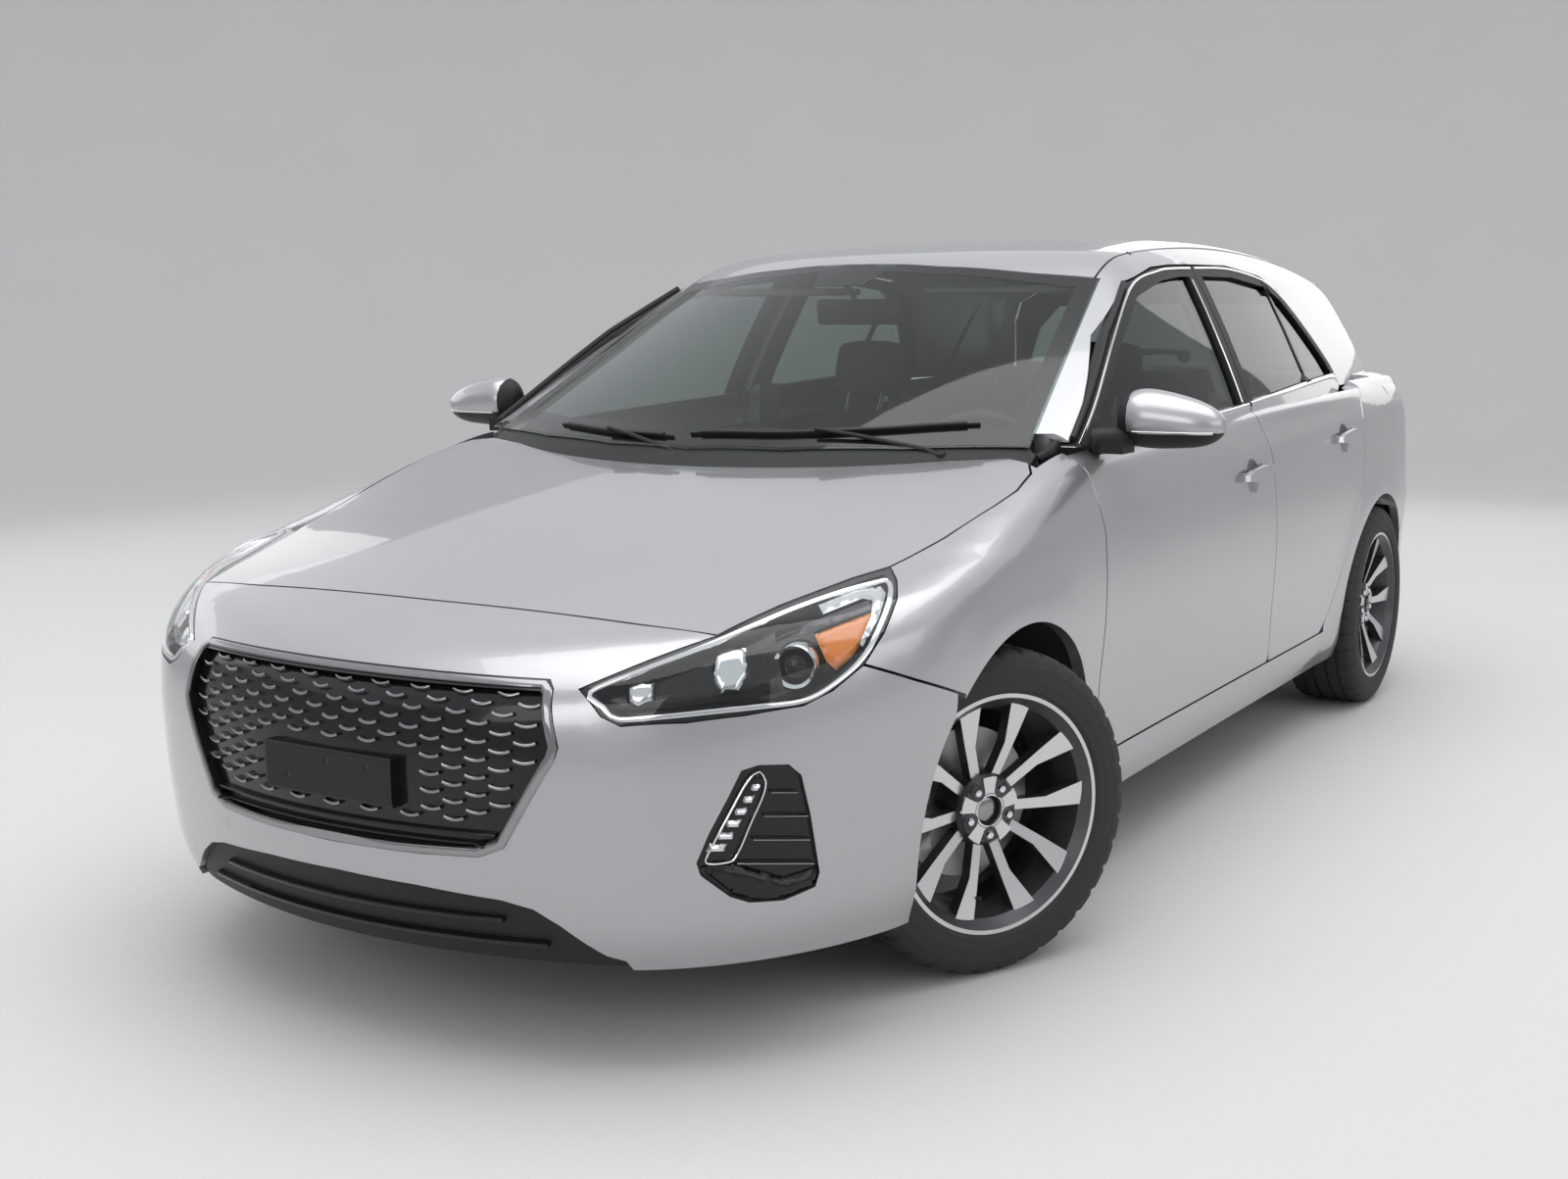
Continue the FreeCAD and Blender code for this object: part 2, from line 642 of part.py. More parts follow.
def rail_rays(x0, x1, columns, low, high, rows):
    grid = []
    for x in steps(x0, x1, columns):
        share = min(1.0, max(0.0, rail_turn(-x)))
        up = Vector(0.5 * (1 - share), 0.0, 0.866 + 0.134 * share)
        up.normalize()
        behind = min(1.0, max(0.0, (-980 - x) / 220.0))
        line = []
        for turn in steps(low - 20 * behind * behind * (3 - 2 * behind), high, rows):
            a = radians(turn)
            way = Vector(0, cos(a), 0) + up * sin(a)
            line.append(((x, rail_y(-x), rail_z(-x)), tuple(way)))
        grid.append(line)
    return grid


rail_slab = ray_slab(greenhouse, rail_rays(940, -1500, 84, -32, 92, 34), 30.0)
roof_hole = prism(roof_spots, (0, 0, 1), 400.0, 400.0, -SHUT_GAP / 2)
screen_hole = prism(screen_outline, GLASS_NORMAL, 400.0, 400.0, -3.0)
roof_space = ray_slab(greenhouse, roof_rays, 24.0 + SEAT, 80.0).common(roof_hole)
roof_through = prism(roof_spots, (0, 0, 1), 400.0, 400.0, 24.0)
screen_space = slab_between(screen_rows(-60.0), screen_rows(GLASS + SEAT)).common(screen_hole)
screen_through = prism(screen_outline, GLASS_NORMAL, 400.0, 400.0, 22.0)
rail = rail_slab.cut(roof_space).cut(roof_through).cut(screen_space).cut(screen_through)
rail = rail.cut(front_frame_hole).cut(rear_frame_hole)
rail = rail.cut(box(-1600, -1100, 0, 900, 0, 1022))
rail = max(rail.Solids, key=lambda s: s.Volume)

tail_rays = globe_rays((-1400.0, 0.0, 640.0), 96, 264, 56, -26, 36, 24)
tail_skin = ray_slab(lower_body, tail_rays, 26.0)
tail_thin = ray_slab(lower_body, tail_rays, 18.0)
back_rays = globe_rays((-1450.0, 0.0, 1080.0), 106, 254, 44, -12, 50, 22)
back_skin = ray_slab(greenhouse, back_rays, 26.0)
gate_lower = tail_skin.common(gate_cut).cut(box(-2300, -1000, -900, 900, 1046, 1500))
gate_upper = back_skin.common(gate_cut).cut(box(-2300, -1000, -900, 900, 0, 1020))
GATE_LIGHT = [(-1846, 0, 1291), (-1812, 420, 1283), (-1845, 515, 1200), (-1915, 585, 1080),
              (-1985, 300, 1054), (-2004, 0, 1050)]
light_outline = GATE_LIGHT + [(x, -y, z) for x, y, z in GATE_LIGHT[::-1] if y > 1]
gate_upper = gate_upper.cut(prism(light_outline, GATE_WAY, 500.0, 260.0))
gate_bar = box(-2010, -1960, -560, 560, 1005, 1035)


def roof_rows(x0, x1, half, shift):
    rows = []
    for x in steps(x0, x1, 8):
        rows.append([P(x, y, roof_z(x, y) - shift) for y in steps(-half, half, 12)])
    return rows


SPOILER_HALF = [(-1700, 0), (-1700, 538), (-1830, 532), (-1888, 500), (-1925, 400),
                (-1938, 0)]
spoiler_spots = [(x, y, 1300.0) for x, y in SPOILER_HALF]
spoiler_spots += [(x, -y, 1300.0) for x, y in SPOILER_HALF[::-1] if y > 1]
spoiler = slab_between(roof_rows(-1793, -1945, 545, 2.0), roof_rows(-1793, -1945, 545, 30.0))
spoiler = spoiler.common(prism(spoiler_spots, (0, 0, 1), 400.0, 300.0)).common(gate_cut)
gate = join([gate_lower, gate_upper, gate_bar, spoiler])
TAIL_LAMP = [(-1800, 872, 905), (-1890, 850, 945), (-2000, 740, 960), (-2075, 560, 935),
             (-2090, 450, 880), (-2095, 450, 815), (-2085, 600, 790), (-2020, 740, 800),
             (-1920, 845, 825)]
LAMP_BACK = (-0.72, 0.68, 0.1)
tail_lamp_hole = prism(TAIL_LAMP, LAMP_BACK, 500.0, 260.0)
tail_lamp_block = prism(TAIL_LAMP, LAMP_BACK, 500.0, 260.0, 0.4)
gate = gate.cut(tail_lamp_hole).cut(mirrored(tail_lamp_hole))
keep("tailgate", gate)
back_pane_slab = ray_slab(greenhouse, back_rays, 9.0, -3.0)
back_pane = back_pane_slab.common(prism(light_outline, GATE_WAY, 500.0, 260.0, 0.3))
keep("tailgate_glass", back_pane)
TAIL_CENTRE = (-1400.0, 100.0, 640.0)
lamp_side = ray_slab(lower_body, globe_rays(TAIL_CENTRE, 88, 180, 34, 2, 32, 14), 22.0)
tail_lamp = lamp_side.common(tail_lamp_block)
on_gate = tail_lamp.common(gate_cut)
on_body = tail_lamp.cut(gate_hole)
keep("tailgate_lamps", group([on_gate, mirrored(on_gate)]))
keep("tail_lamps", group([on_body, mirrored(on_body)]))

# Quarter panel, wheel house, sill and pillars of one side
quarter_keep = [(-860, 330), (-900, 200), (-1385, 200), (-1690, 540), (-1768, 688),
                (-2300, 688), (-2300, 1200), (-900, 1200)]
quarter_spots = [(x, 900, z) for x, z in quarter_keep]
quarter = side_skin.common(prism(quarter_spots, (0, 1, 0), 300.0, 700.0, 2.0))
corner_skin = ray_slab(lower_body, globe_rays(TAIL_CENTRE, 100, 175, 30, 0, 44, 18), 26.0)
corner = corner_skin.common(prism(quarter_spots, (0, 1, 0), 300.0, 900.0, 2.0))
c_rays = globe_rays((-1600.0, 330.0, 1130.0), 62, 176, 34, -16, 64, 26)
c_pillar = ray_slab(greenhouse, c_rays, 29.6, -0.4)
c_pillar = c_pillar.cut(box(-2400, 0, -500, 900, 0, 1022)).cut(box(-1500, 0, -500, 900, 0, 1600))
arch_front = arch_tool(FRONT_AXLE_X, ARCH_RADIUS, 300, 1100)
arch_rear = arch_tool(REAR_AXLE_X, ARCH_RADIUS, 300, 1100)
c_pillar = c_pillar.cut(roof_space).cut(roof_through).cut(gate_hole)
c_pillar = c_pillar.cut(front_frame_hole).cut(rear_frame_hole)
c_pillar = max(c_pillar.Solids, key=lambda s: s.Volume)
outer = join([quarter, corner]).cut(arch_rear).cut(gate_hole).cut(rear_hole).cut(tail_lamp_hole)
outer = max(outer.Solids, key=lambda s: s.Volume)
sill_skin = side_skin.common(box(-1010, 900, 500, 1000, 200, 309))
sill_skin = sill_skin.cut(arch_front).cut(arch_rear)
sill_beam = box(-1035, 880, 705, 800, 205, 296).cut(arch_tool(REAR_AXLE_X, ARCH_RADIUS + 4, 600, 900))
sill_step = box(-1000, 880, 705, 750, 280, 372)
hinge_pillar = box(812, 880, 705, 734, 290, 960)
hinge_link = box(812, 884, 690, 734, 800, 940)
hinge_post = box(816, 834, 704, 734, 900, 1004)
centre_pillar = box(-345, -235, 712, 750, 300, 1040)
post = [(-330, 1022), (-225, 1022), (-262, 1380), (-355, 1380)]
centre_post = side_glass_slab(-420, -150, 940, 1385, 42.0, 70.0).common(side_prism(post))
wheel_wall = arch_tool(REAR_AXLE_X, ARCH_RADIUS + 22, 690, 876)
wheel_wall = wheel_wall.cut(arch_tool(REAR_AXLE_X, ARCH_RADIUS + 4, 600, 900))
wheel_wall = wheel_wall.cut(box(-1900, -900, 600, 1000, -200, 240)).cut(rear_hole)
wheel_wall = wheel_wall.cut(box(-1900, -1500, 760, 1000, 0, 620))
wall_rays = section_rays(-1900, -900, 16, -52, 50, 16)
wheel_wall = wheel_wall.common(ray_slab(lower_body, wall_rays, 400.0, -6.0))
rear_pillar = [(-1000, 290), (-1075, 290), (-1230, 700), (-1280, 970), (-1205, 970),
               (-1150, 700)]
rear_post = prism([(x, 750, z) for x, z in rear_pillar], (0, 1, 0), 0.0, 45.0)
rear_post = rear_post.cut(arch_tool(REAR_AXLE_X, ARCH_RADIUS + 4, 600, 900))
rail = rail.cut(box(835, 1100, 600, 1000, 0, 1002))
pads = []
for x0, x1, z0 in ((838, 868, 430), (838, 868, 700), (-288, -262, 430), (-288, -262, 700),
                   (-343, -320, 430), (-343, -320, 700)):
    pads.append(under(box(x0, x1, 720, 900, z0, z0 + 60), door_space))
side = outer
for piece in (c_pillar, rail, sill_skin, sill_beam, sill_step, hinge_pillar, hinge_link,
              hinge_post, centre_pillar, centre_post, wheel_wall, rear_post, *pads):
    side = side.fuse(piece)
keep("body_side_left", side)
keep("body_side_right", mirrored(side))

# Rear bumper
rear_keep = [(-2400, 150), (-1500, 150), (-1690, 540), (-1768, 688), (-2400, 688)]
rear_spots = [(x, 1100, z) for x, z in rear_keep]
rear_bumper = tail_thin.common(prism(rear_spots, (0, 1, 0), 100.0, 2300.0, 2.5))
for y in (1, -1):
    spot = (REAR_AXLE_X, y * 850, TYRE_RADIUS)
    rear_bumper = rear_bumper.cut(cylinder(ARCH_RADIUS, 700.0, spot, (0, 1, 0)))
rear_bumper = rear_bumper.cut(gate_hole).cut(box(-2300, -1400, -1000, 1000, 0, 215))
rear_bumper = max(rear_bumper.Solids, key=lambda s: s.Volume)
keep("rear_bumper", rear_bumper)

nose_space = ray_slab(lower_body, corner_rays, 20.0 + SEAT, 80.0)
grille_space = ray_slab(lower_body, corner_rays, 28.0 + SEAT, 90.0)
hood_space = ray_slab(lower_body, hood_rays, 22.0 + SEAT, 90.0)
tail_space = ray_slab(lower_body, tail_rays, 18.0 + SEAT, 80.0)
gate_space = ray_slab(lower_body, tail_rays, 26.0 + SEAT, 80.0)

# Floor, fire wall, tunnel and front wheel houses
floor = box(-760, 880, -705, 705, 195, 213)
for y in (1, -1):
    floor = floor.cut(box(REAR_AXLE_X - 380, REAR_AXLE_X + 380, y * 560, y * 800, 100, 300))
well = box(-1990, -1560, -330, 330, 240, 420).cut(box(-1972, -1578, -312, 312, 258, 500))
tunnel = box(-742, 862, -130, 130, 195, 330).cut(box(-1600, 900, -115, 115, 100, 315))
floor = floor.cut(box(-1600, 900, -115, 115, 100, 315))
bulkhead = box(862, 880, -685, 685, 195, 878)
shelf = box(862, 1130, -640, 640, 866, 878)
heel = box(-760, -742, -690, 690, 195, 420)
boot_floor = box(-2010, -742, -560, 560, 402, 420).cut(box(-1972, -1578, -312, 312, 300, 500))
boot_back = box(-2030, -2010, -560, 560, 260, 640)
pieces = [tunnel, bulkhead, shelf, heel, boot_floor, boot_back, well]
for y in (1, -1):
    tub = arch_tool(FRONT_AXLE_X, ARCH_RADIUS + 22, 470, 900)
    tub = tub.cut(arch_tool(FRONT_AXLE_X, ARCH_RADIUS + 6, 400, 950))
    tub = max(tub.cut(side_space).Solids, key=lambda s: s.Volume)
    tub = tub.cut(box(800, 1262, 705, 1000, 0, 480)).cut(box(1500, 1900, 760, 1000, 0, 900))
    tub = tub.cut(box(800, 1800, 300, 1000, -200, 330))
    wall = box(862, 1640, 452, 476, 330, 700).cut(box(1235, 1295, 440, 480, 320, 485))
    rear_tub = arch_tool(REAR_AXLE_X, ARCH_RADIUS + 22, 540, 690)
    rear_tub = rear_tub.cut(arch_tool(REAR_AXLE_X, ARCH_RADIUS + 4, 500, 800))
    rear_tub = rear_tub.cut(box(-2000, -700, 400, 1000, -200, 345))
    cap = arch_tool(REAR_AXLE_X, ARCH_RADIUS + 22, 540, 556)
    cap = cap.cut(box(-2000, -700, 400, 1000, -200, 345))
    for piece in (tub, wall, rear_tub, cap):
        pieces.append(piece if y > 0 else mirrored(piece))
for piece in pieces:
    floor = floor.fuse(piece)
for y in (1, -1):
    arm_block = box(-2200, -2020, y * 300, y * 340, 500, 540)
    floor = floor.fuse(max(arm_block.cut(tail_space).Solids, key=lambda s: s.CenterOfMass.x))
floor = floor.fuse(box(-2030, -2010, -40, 40, 630, 722))
stop = box(-2200, -2015, -40, 40, 702, 722).cut(gate_space)
floor = floor.fuse(max(stop.Solids, key=lambda s: s.CenterOfMass.x))
keep("floor_pan", floor)

# Front frame, engine, rear axle and exhaust
rails = []
for y in (1, -1):
    rails.append(box(884, 1950, y * 395, y * 450, 360, 440))
rails.append(box(1890, 1950, -450, 450, 360, 440))
rails.append(box(1900, 1945, -430, 430, 640, 690))
rails.append(box(1905, 1940, -30, 30, 430, 650))
rails.append(box(1195, 1335, -400, 400, 215, 262))
for y in (1, -1):
    rails.append(box(1225, 1305, y * 395, y * 440, 215, 400))
    rails.append(box(880.3, 930, y * 395, y * 450, 200, 440))
    rails.append(cylinder(21.0, 340.0, (FRONT_AXLE_X, y * 560, 196), (0, 1, 0)))
    rails.append(cylinder(15.0, 310.0, (FRONT_AXLE_X, y * 575, 452), (0, 1, 0)))
    rails.append(cylinder(25.0, 479.6, (FRONT_AXLE_X, y * 507, 440), (0, 0, 1)))
    pin = y * (TRACK / 2 - KINGPIN_INSET)
    rails.append(cylinder(9.0, 44.0, (FRONT_AXLE_X, pin, TYRE_RADIUS - 94 - 0.3 - 22), (0, 0, 1)))
    rails.append(cylinder(9.0, 40.0, (FRONT_AXLE_X, pin, TYRE_RADIUS + 118 + 0.3 + 20), (0, 0, 1)))
    rails.append(under(box(1860, 1900, y * 380, y * 420, 640, 790), hood_space))
    rails.append(under(box(1930, 2200, y * 462, y * 505, 520, 545), nose_space))
    rails.append(box(1900, 1945, y * 395, y * 430, 430, 690))
    rails.append(box(1900, 1945, y * 395, y * 505, 508, 545))
rails.append(under(box(1945, 2200, -240, 240, 400, 430), grille_space))
frame = join(rails)
for y in (1, -1):
    zone = ray_slab(lower_body, lamp_rays, 75.9, 30.0)
    zone = zone.common(prism(LAMP, LAMP_WAY, 400.0, 330.0, 2.1))
    frame = frame.cut(zone if y > 0 else mirrored(zone))
keep("front_subframe", frame)
engine = box(1240, 1760, -330, 330, 330, 740)
for y in (1, -1):
    engine = engine.fuse(box(1480, 1560, y * 325, y * 394.7, 375, 420))
keep("engine_block", engine)
beam = box(-1425, -1345, -640, 640, 250, 330)
for y in (1, -1):
    middle = y * (TRACK / 2 + 21.7 - 101)
    stub = cylinder(28.0, 202.0, (REAR_AXLE_X, middle, TYRE_RADIUS), (0, 1, 0))
    arm = box(-1385, -760.3, y * 560, y * 610, 232, 292)
    spring = Part.makeCylinder(48.0, 72.0, Vector(X(-1385), Y(y * 470), Z(329.7)))
    beam = beam.fuse([stub, arm, spring])
keep("rear_axle", beam)
pipe = [P(1150, 0, 160), P(-1150, 0, 160), P(-1450, 380, 160), P(-1800, 480, 168),
        P(-2110, 520, 178)]
exhaust = bent_bar(pipe, 24.0)
for x in (500, -500):
    exhaust = exhaust.fuse(box(x - 15, x + 15, -128, 128, 181, 194.7))
keep("exhaust", exhaust)

# Wheels: one pair of spokes, turned round the hub
def ring(r0, r1, y0, y1):
    outer_ring = Part.makeCylinder(r1, y1 - y0, Vector(0, y0, 0), Vector(0, 1, 0))
    return outer_ring.cut(Part.makeCylinder(r0, y1 - y0, Vector(0, y0, 0), Vector(0, 1, 0)))


def turned(profile):
    """Turn a closed outline of radius and Y round the axle line."""
    corners = [Vector(r, y, 0) for r, y in profile]
    face = Part.Face(Part.makePolygon(corners + [corners[0]]))
    return face.revolve(Vector(0, 0, 0), Vector(0, 1, 0), 360)


def plain_wheel():
    """Wheel in its own frame, axle along Y, outer face towards +Y, middle at zero."""
    h = TYRE_WIDTH / 2 - 6
    r = RIM_RADIUS
    barrel = turned([(r + 17, h), (r + 17, h - 8), (r, h - 18), (r - 18, 30), (r - 18, -30),
                     (r, -h + 18), (r + 17, -h + 8), (r + 17, -h), (r + 9, -h),
                     (r - 8, -h + 20), (r - 26, -30), (r - 26, 34), (r - 9, h - 20), (r + 9, h)])
    hub = turned([(0, 58), (30, 58), (33, 74), (62, 70), (70, 60), (74, 44), (74, 34), (0, 34)])
    rise = (h - 14 - 58) / (r - 6 - 62)
    spokes = []
    for k in range(SPOKE_PAIRS):
        for side in (1, -1):
            outline = [(12, 62), (34, 64), (62, 140), (82, r - 18), (36, r - 6), (35, 130)]
            corners = [Vector(side * x, 58 + rise * (z - 62), z) for x, z in outline]
            face = Part.Face(Part.makePolygon(corners + [corners[0]]))
            block = face.extrude(Vector(0, -26, 0))
            spokes.append(block.rotate(Vector(0, 0, 0), Vector(0, 1, 0), 360.0 / SPOKE_PAIRS * k))
    disc = turned([(60, -8), (148, -8), (148, -30), (60, -30)])
    bell = turned([(0, 34), (74, 34), (74, -30), (62, -30), (62, 22), (0, 22)])
    return join([barrel, hub] + spokes + [bell, disc])


def plain_tyre():
    h = TYRE_WIDTH / 2
    r = RIM_RADIUS
    big = TYRE_RADIUS
    wall = [(r + 17.3, h - 6.5), (r + 22, h - 3), (r + 45, h + 1), (r + 75, h - 3),
            (big - 10, h - 12), (big - 3, h - 26), (big, h - 50)]
    lining = [(r + 17.3, 14.3 - h), (r + 30, 20 - h), (big - 14, 40 - h)]
    other_wall = [(radius, -y) for radius, y in wall[::-1]]
    other_lining = [(radius, -y) for radius, y in lining[::-1]]
    return turned(wall + other_wall + lining + other_lining)


wheel = plain_wheel()
tyre = plain_tyre()
HUBS = [("front_left", FRONT_AXLE_X, 1, STEER_LEFT),
        ("front_right", FRONT_AXLE_X, -1, STEER_RIGHT),
        ("rear_left", REAR_AXLE_X, 1, 0.0), ("rear_right", REAR_AXLE_X, -1, 0.0)]


def placed(shape, x, hand, turn):
    """Set a wheel-end shape at its hub, turned about the kingpin."""
    shape = shape.copy() if hand > 0 else mirrored(shape)
    inset_y = KINGPIN_INSET if x == FRONT_AXLE_X else 0.0
    pin = Vector(x, hand * (TRACK / 2 - inset_y), TYRE_RADIUS)
    turned_to = Placement(pin, Rotation(Vector(0, 0, 1), turn))
    out = Placement(Vector(0, hand * inset_y, 0), Rotation())
    shape.Placement = turned_to.multiply(out).multiply(shape.Placement)
    return shape


for name, x, hand, turn in HUBS:
    keep("wheel_" + name, placed(wheel, x, hand, turn))
    keep("tyre_" + name, placed(tyre, x, hand, turn))

knuckle = cylinder(24.0, 95.0, (0, -25.8, 0), (0, 1, 0))
knuckle = knuckle.fuse(Part.makeBox(56, 26, 212, Vector(-28, -62, -94)))
caliper = Part.makeBox(70, 56, 150, Vector(92, -48, -75))
caliper = caliper.cut(turned([(60, -4), (152, -4), (152, -34), (60, -34)]))
bracket = Part.makeBox(110, 22, 60, Vector(10, -60, -30))
knuckle = knuckle.fuse(caliper).fuse(bracket)
for name, x, hand, turn in HUBS[:2]:
    keep("knuckle_" + name[6:], placed(knuckle, x, hand, turn))

# Mirrors
MIRROR_X = 690.0
MIRROR = [(842, 20, 16, 1022, 30), (856, 44, 28, 1028, 50), (885, 60, 36, 1031, 61),
          (930, 62, 38, 1029, 62), (980, 58, 38, 1025, 56), (1030, 48, 34, 1020, 45),
          (1060, 32, 26, 1018, 30), (1074, 14, 12, 1018, 14)]


def mirror_body():
    wires = []
    for y, front, rear, middle, tall in MIRROR:
        spots = []
        for k in range(16):
            a = 2 * pi * k / 16
            reach = front if cos(a) > 0 else rear
            spots.append(P(MIRROR_X + reach * cos(a), y, middle + tall * sin(a)))
        curve = Part.BSplineCurve()
        curve.interpolate(spots, PeriodicFlag=True)
        wires.append(Part.Wire([curve.toShape()]))
    return Part.makeLoft(wires, True)


mirror = mirror_body().cut(box(0, MIRROR_X - 28, 0, 1200, 0, 1400))
foot = box(706, 772, 826, 880, 958, 992)
mirror = mirror.fuse(foot).cut(front_door)
mirror = max(mirror.Solids, key=lambda s: s.Volume)
keep("mirror_left", mirror)
keep("mirror_right", mirrored(mirror))

# Cabin
dash = box(560, 861.7, -680, 680, 700, 865)
dash = dash.cut(box(400, 610, -700, 700, 600, 760))
keep("dashboard", dash)
rim = Part.makeTorus(180, 15)
spoke_bar = Part.makeBox(360, 40, 16, Vector(-180, -20, -8))
column = Part.makeCylinder(30, 330, Vector(0, 0, 0), Vector(0, 0, 1))
hand_wheel = rim.fuse(spoke_bar).fuse(column)
hand_wheel.rotate(Vector(0, 0, 0), Vector(0, 1, 0), 115)
hand_wheel.translate(P(345, 370, 845))
hand_wheel = hand_wheel.cut(dash)
keep("steering_wheel", hand_wheel)
seats = []
for y in (370, -370):
    seats.append(box(-170, 330, y - 250, y + 250, 330, 470))
    back = box(-250, -110, y - 250, y + 250, 400, 1000)
    back.rotate(P(-180, 0, 400), Vector(0, 1, 0), -12)
    head = box(-255, -165, y - 130, y + 130, 985, 1190)
    head.rotate(P(-180, 0, 400), Vector(0, 1, 0), -12)
    seats.append(back)
    seats.append(head)
    seats.append(box(-120, 280, y - 200, y + 200, 213.3, 330))
keep("front_seats", join(seats))
bench = box(-1215, -640, -620, 620, 420.3, 520)
rear_back = box(-1290, -1170, -620, 620, 470, 960)
rear_back.rotate(P(-1150, 0, 440), Vector(0, 1, 0), -14)
rear_seat = join([bench, rear_back])
for y in (1, -1):
    spot = (REAR_AXLE_X, y * 640, TYRE_RADIUS)
    rear_seat = rear_seat.cut(cylinder(ARCH_RADIUS + 26, 200.0, spot, (0, 1, 0)))
keep("rear_seat", rear_seat)
cowl = box(900, 1130, -640, 640, 878, 892)
keep("cowl_panel", cowl)
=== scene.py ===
# %% [markdown]
# This scene dresses a five-door hatchback car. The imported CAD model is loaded
# first as a fixed frame: it gives every body, joint and plain solid, so each
# new piece only has to be put where the frame says and told which body it
# rides on.

# %% Load the frame
import math

import bmesh
import bpy
import numpy as np
from mathutils import Matrix, Vector
from mathutils.bvhtree import BVHTree
from mathutils.geometry import delaunay_2d_cdt


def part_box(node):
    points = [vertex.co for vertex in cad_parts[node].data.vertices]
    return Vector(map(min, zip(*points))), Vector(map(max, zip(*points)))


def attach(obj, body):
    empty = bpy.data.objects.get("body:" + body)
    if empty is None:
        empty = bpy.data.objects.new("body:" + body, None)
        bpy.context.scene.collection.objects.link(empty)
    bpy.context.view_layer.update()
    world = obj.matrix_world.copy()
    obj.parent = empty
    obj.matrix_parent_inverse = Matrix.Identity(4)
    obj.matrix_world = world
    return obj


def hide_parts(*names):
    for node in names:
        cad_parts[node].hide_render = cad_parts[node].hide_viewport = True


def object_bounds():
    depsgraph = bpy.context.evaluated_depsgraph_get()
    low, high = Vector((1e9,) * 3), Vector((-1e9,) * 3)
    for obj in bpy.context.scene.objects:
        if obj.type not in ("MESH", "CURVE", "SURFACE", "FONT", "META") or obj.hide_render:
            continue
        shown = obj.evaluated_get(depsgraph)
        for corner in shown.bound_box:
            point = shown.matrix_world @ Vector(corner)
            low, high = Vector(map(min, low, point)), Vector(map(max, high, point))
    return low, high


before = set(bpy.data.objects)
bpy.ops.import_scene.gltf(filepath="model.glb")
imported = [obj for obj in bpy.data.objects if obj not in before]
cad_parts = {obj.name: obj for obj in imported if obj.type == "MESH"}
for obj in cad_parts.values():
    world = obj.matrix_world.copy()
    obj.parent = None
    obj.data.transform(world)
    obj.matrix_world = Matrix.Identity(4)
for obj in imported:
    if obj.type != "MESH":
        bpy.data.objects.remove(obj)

CAD_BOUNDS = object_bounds()


def add_object(name, data):
    made = bpy.data.objects.new(name, data)
    bpy.context.scene.collection.objects.link(made)
    return made


# %% [markdown]
# The camera stands at the car's front left, a little above the wing, as it
# does in the photograph. Its place, turn and lens were fitted to the wheels
# and panel lines. A small shift stands for the photograph's cropping.

# %% Camera
CAMERA_PLACE = Vector((4.22, 2.279, 1.2605))
CAMERA_YAW = math.radians(209.5)
CAMERA_PITCH = math.radians(-9.254)
CAMERA_ROLL = math.radians(-0.298)
LENS = 40.21
SENSOR_WIDTH = 36.0
PHOTO_WIDTH, PHOTO_HEIGHT = 1600, 1203

forward = Vector((math.cos(CAMERA_PITCH) * math.cos(CAMERA_YAW),
                  math.cos(CAMERA_PITCH) * math.sin(CAMERA_YAW),
                  math.sin(CAMERA_PITCH)))
level = forward.cross(Vector((0, 0, 1))).normalized()
upright = level.cross(forward)
right = math.cos(CAMERA_ROLL) * level + math.sin(CAMERA_ROLL) * upright
up = right.cross(forward)
camera_data = bpy.data.cameras.new("camera")
camera_data.lens = LENS
camera_data.shift_x = -0.0711
camera_data.shift_y = 0.0039
camera = add_object("camera", camera_data)
camera.matrix_world = (Matrix.Translation(CAMERA_PLACE)
                       @ Matrix((right, up, -forward)).transposed().to_4x4())
bpy.context.scene.camera = camera
print("camera at", tuple(round(v, 2) for v in CAMERA_PLACE))

# %% [markdown]
# Materials are node graphs. Writing them as sums and products keeps them
# readable, so one small class wraps a socket and turns Python's plus and
# times into Math nodes. Any other node comes from one method, which sets the
# node's own settings first and its sockets second.

# %% Shader maths
class Wire:
    """A shader socket that can be added to and multiplied in Python."""

    def __init__(self, graph, socket):
        self.graph = graph
        self.socket = socket

    def __add__(self, other):
        return self.graph.node("ShaderNodeMath", {"operation": "ADD"}, {0: self, 1: other})

    def __mul__(self, other):
        return self.graph.node("ShaderNodeMath", {"operation": "MULTIPLY"}, {0: self, 1: other})


class Graph:
    """A material's node tree, filled through one method."""

    def __init__(self, name):
        self.material = bpy.data.materials.new(name)
        self.material.use_nodes = True
        self.tree = self.material.node_tree
        self.tree.nodes.clear()

    def put(self, socket, value):
        if isinstance(value, Wire):
            self.tree.links.new(value.socket, socket)
        elif isinstance(value, (tuple, list)) and len(value) == 3 and socket.type == "RGBA":
            socket.default_value = (*value, 1.0)
        else:
            socket.default_value = value

    def node(self, kind, settings=None, values=None, out=0):
        made = self.tree.nodes.new(kind)
        for key, value in (settings or {}).items():
            setattr(made, key, value)
        for key, value in (values or {}).items():
            self.put(made.inputs[key], value)
        return Wire(self, made.outputs[out])

    def noise(self, scale, detail=3.0):
        place = self.node("ShaderNodeTexCoord", out=3)
        return self.node("ShaderNodeTexNoise", {}, {"Scale": scale, "Detail": detail,
                                                    "Roughness": 0.5, "Vector": place})

    def mix(self, share, first, second):
        return self.node("ShaderNodeMix", {"data_type": "RGBA"}, {0: share, 6: first, 7: second},
                         out=2)

    def surface(self, values):
        return self.finish(self.node("ShaderNodeBsdfPrincipled", {}, values))

    def finish(self, shader):
        output = self.tree.nodes.new("ShaderNodeOutputMaterial")
        self.tree.links.new(shader.socket, output.inputs[0])
        return self.material


print("shader maths ready")

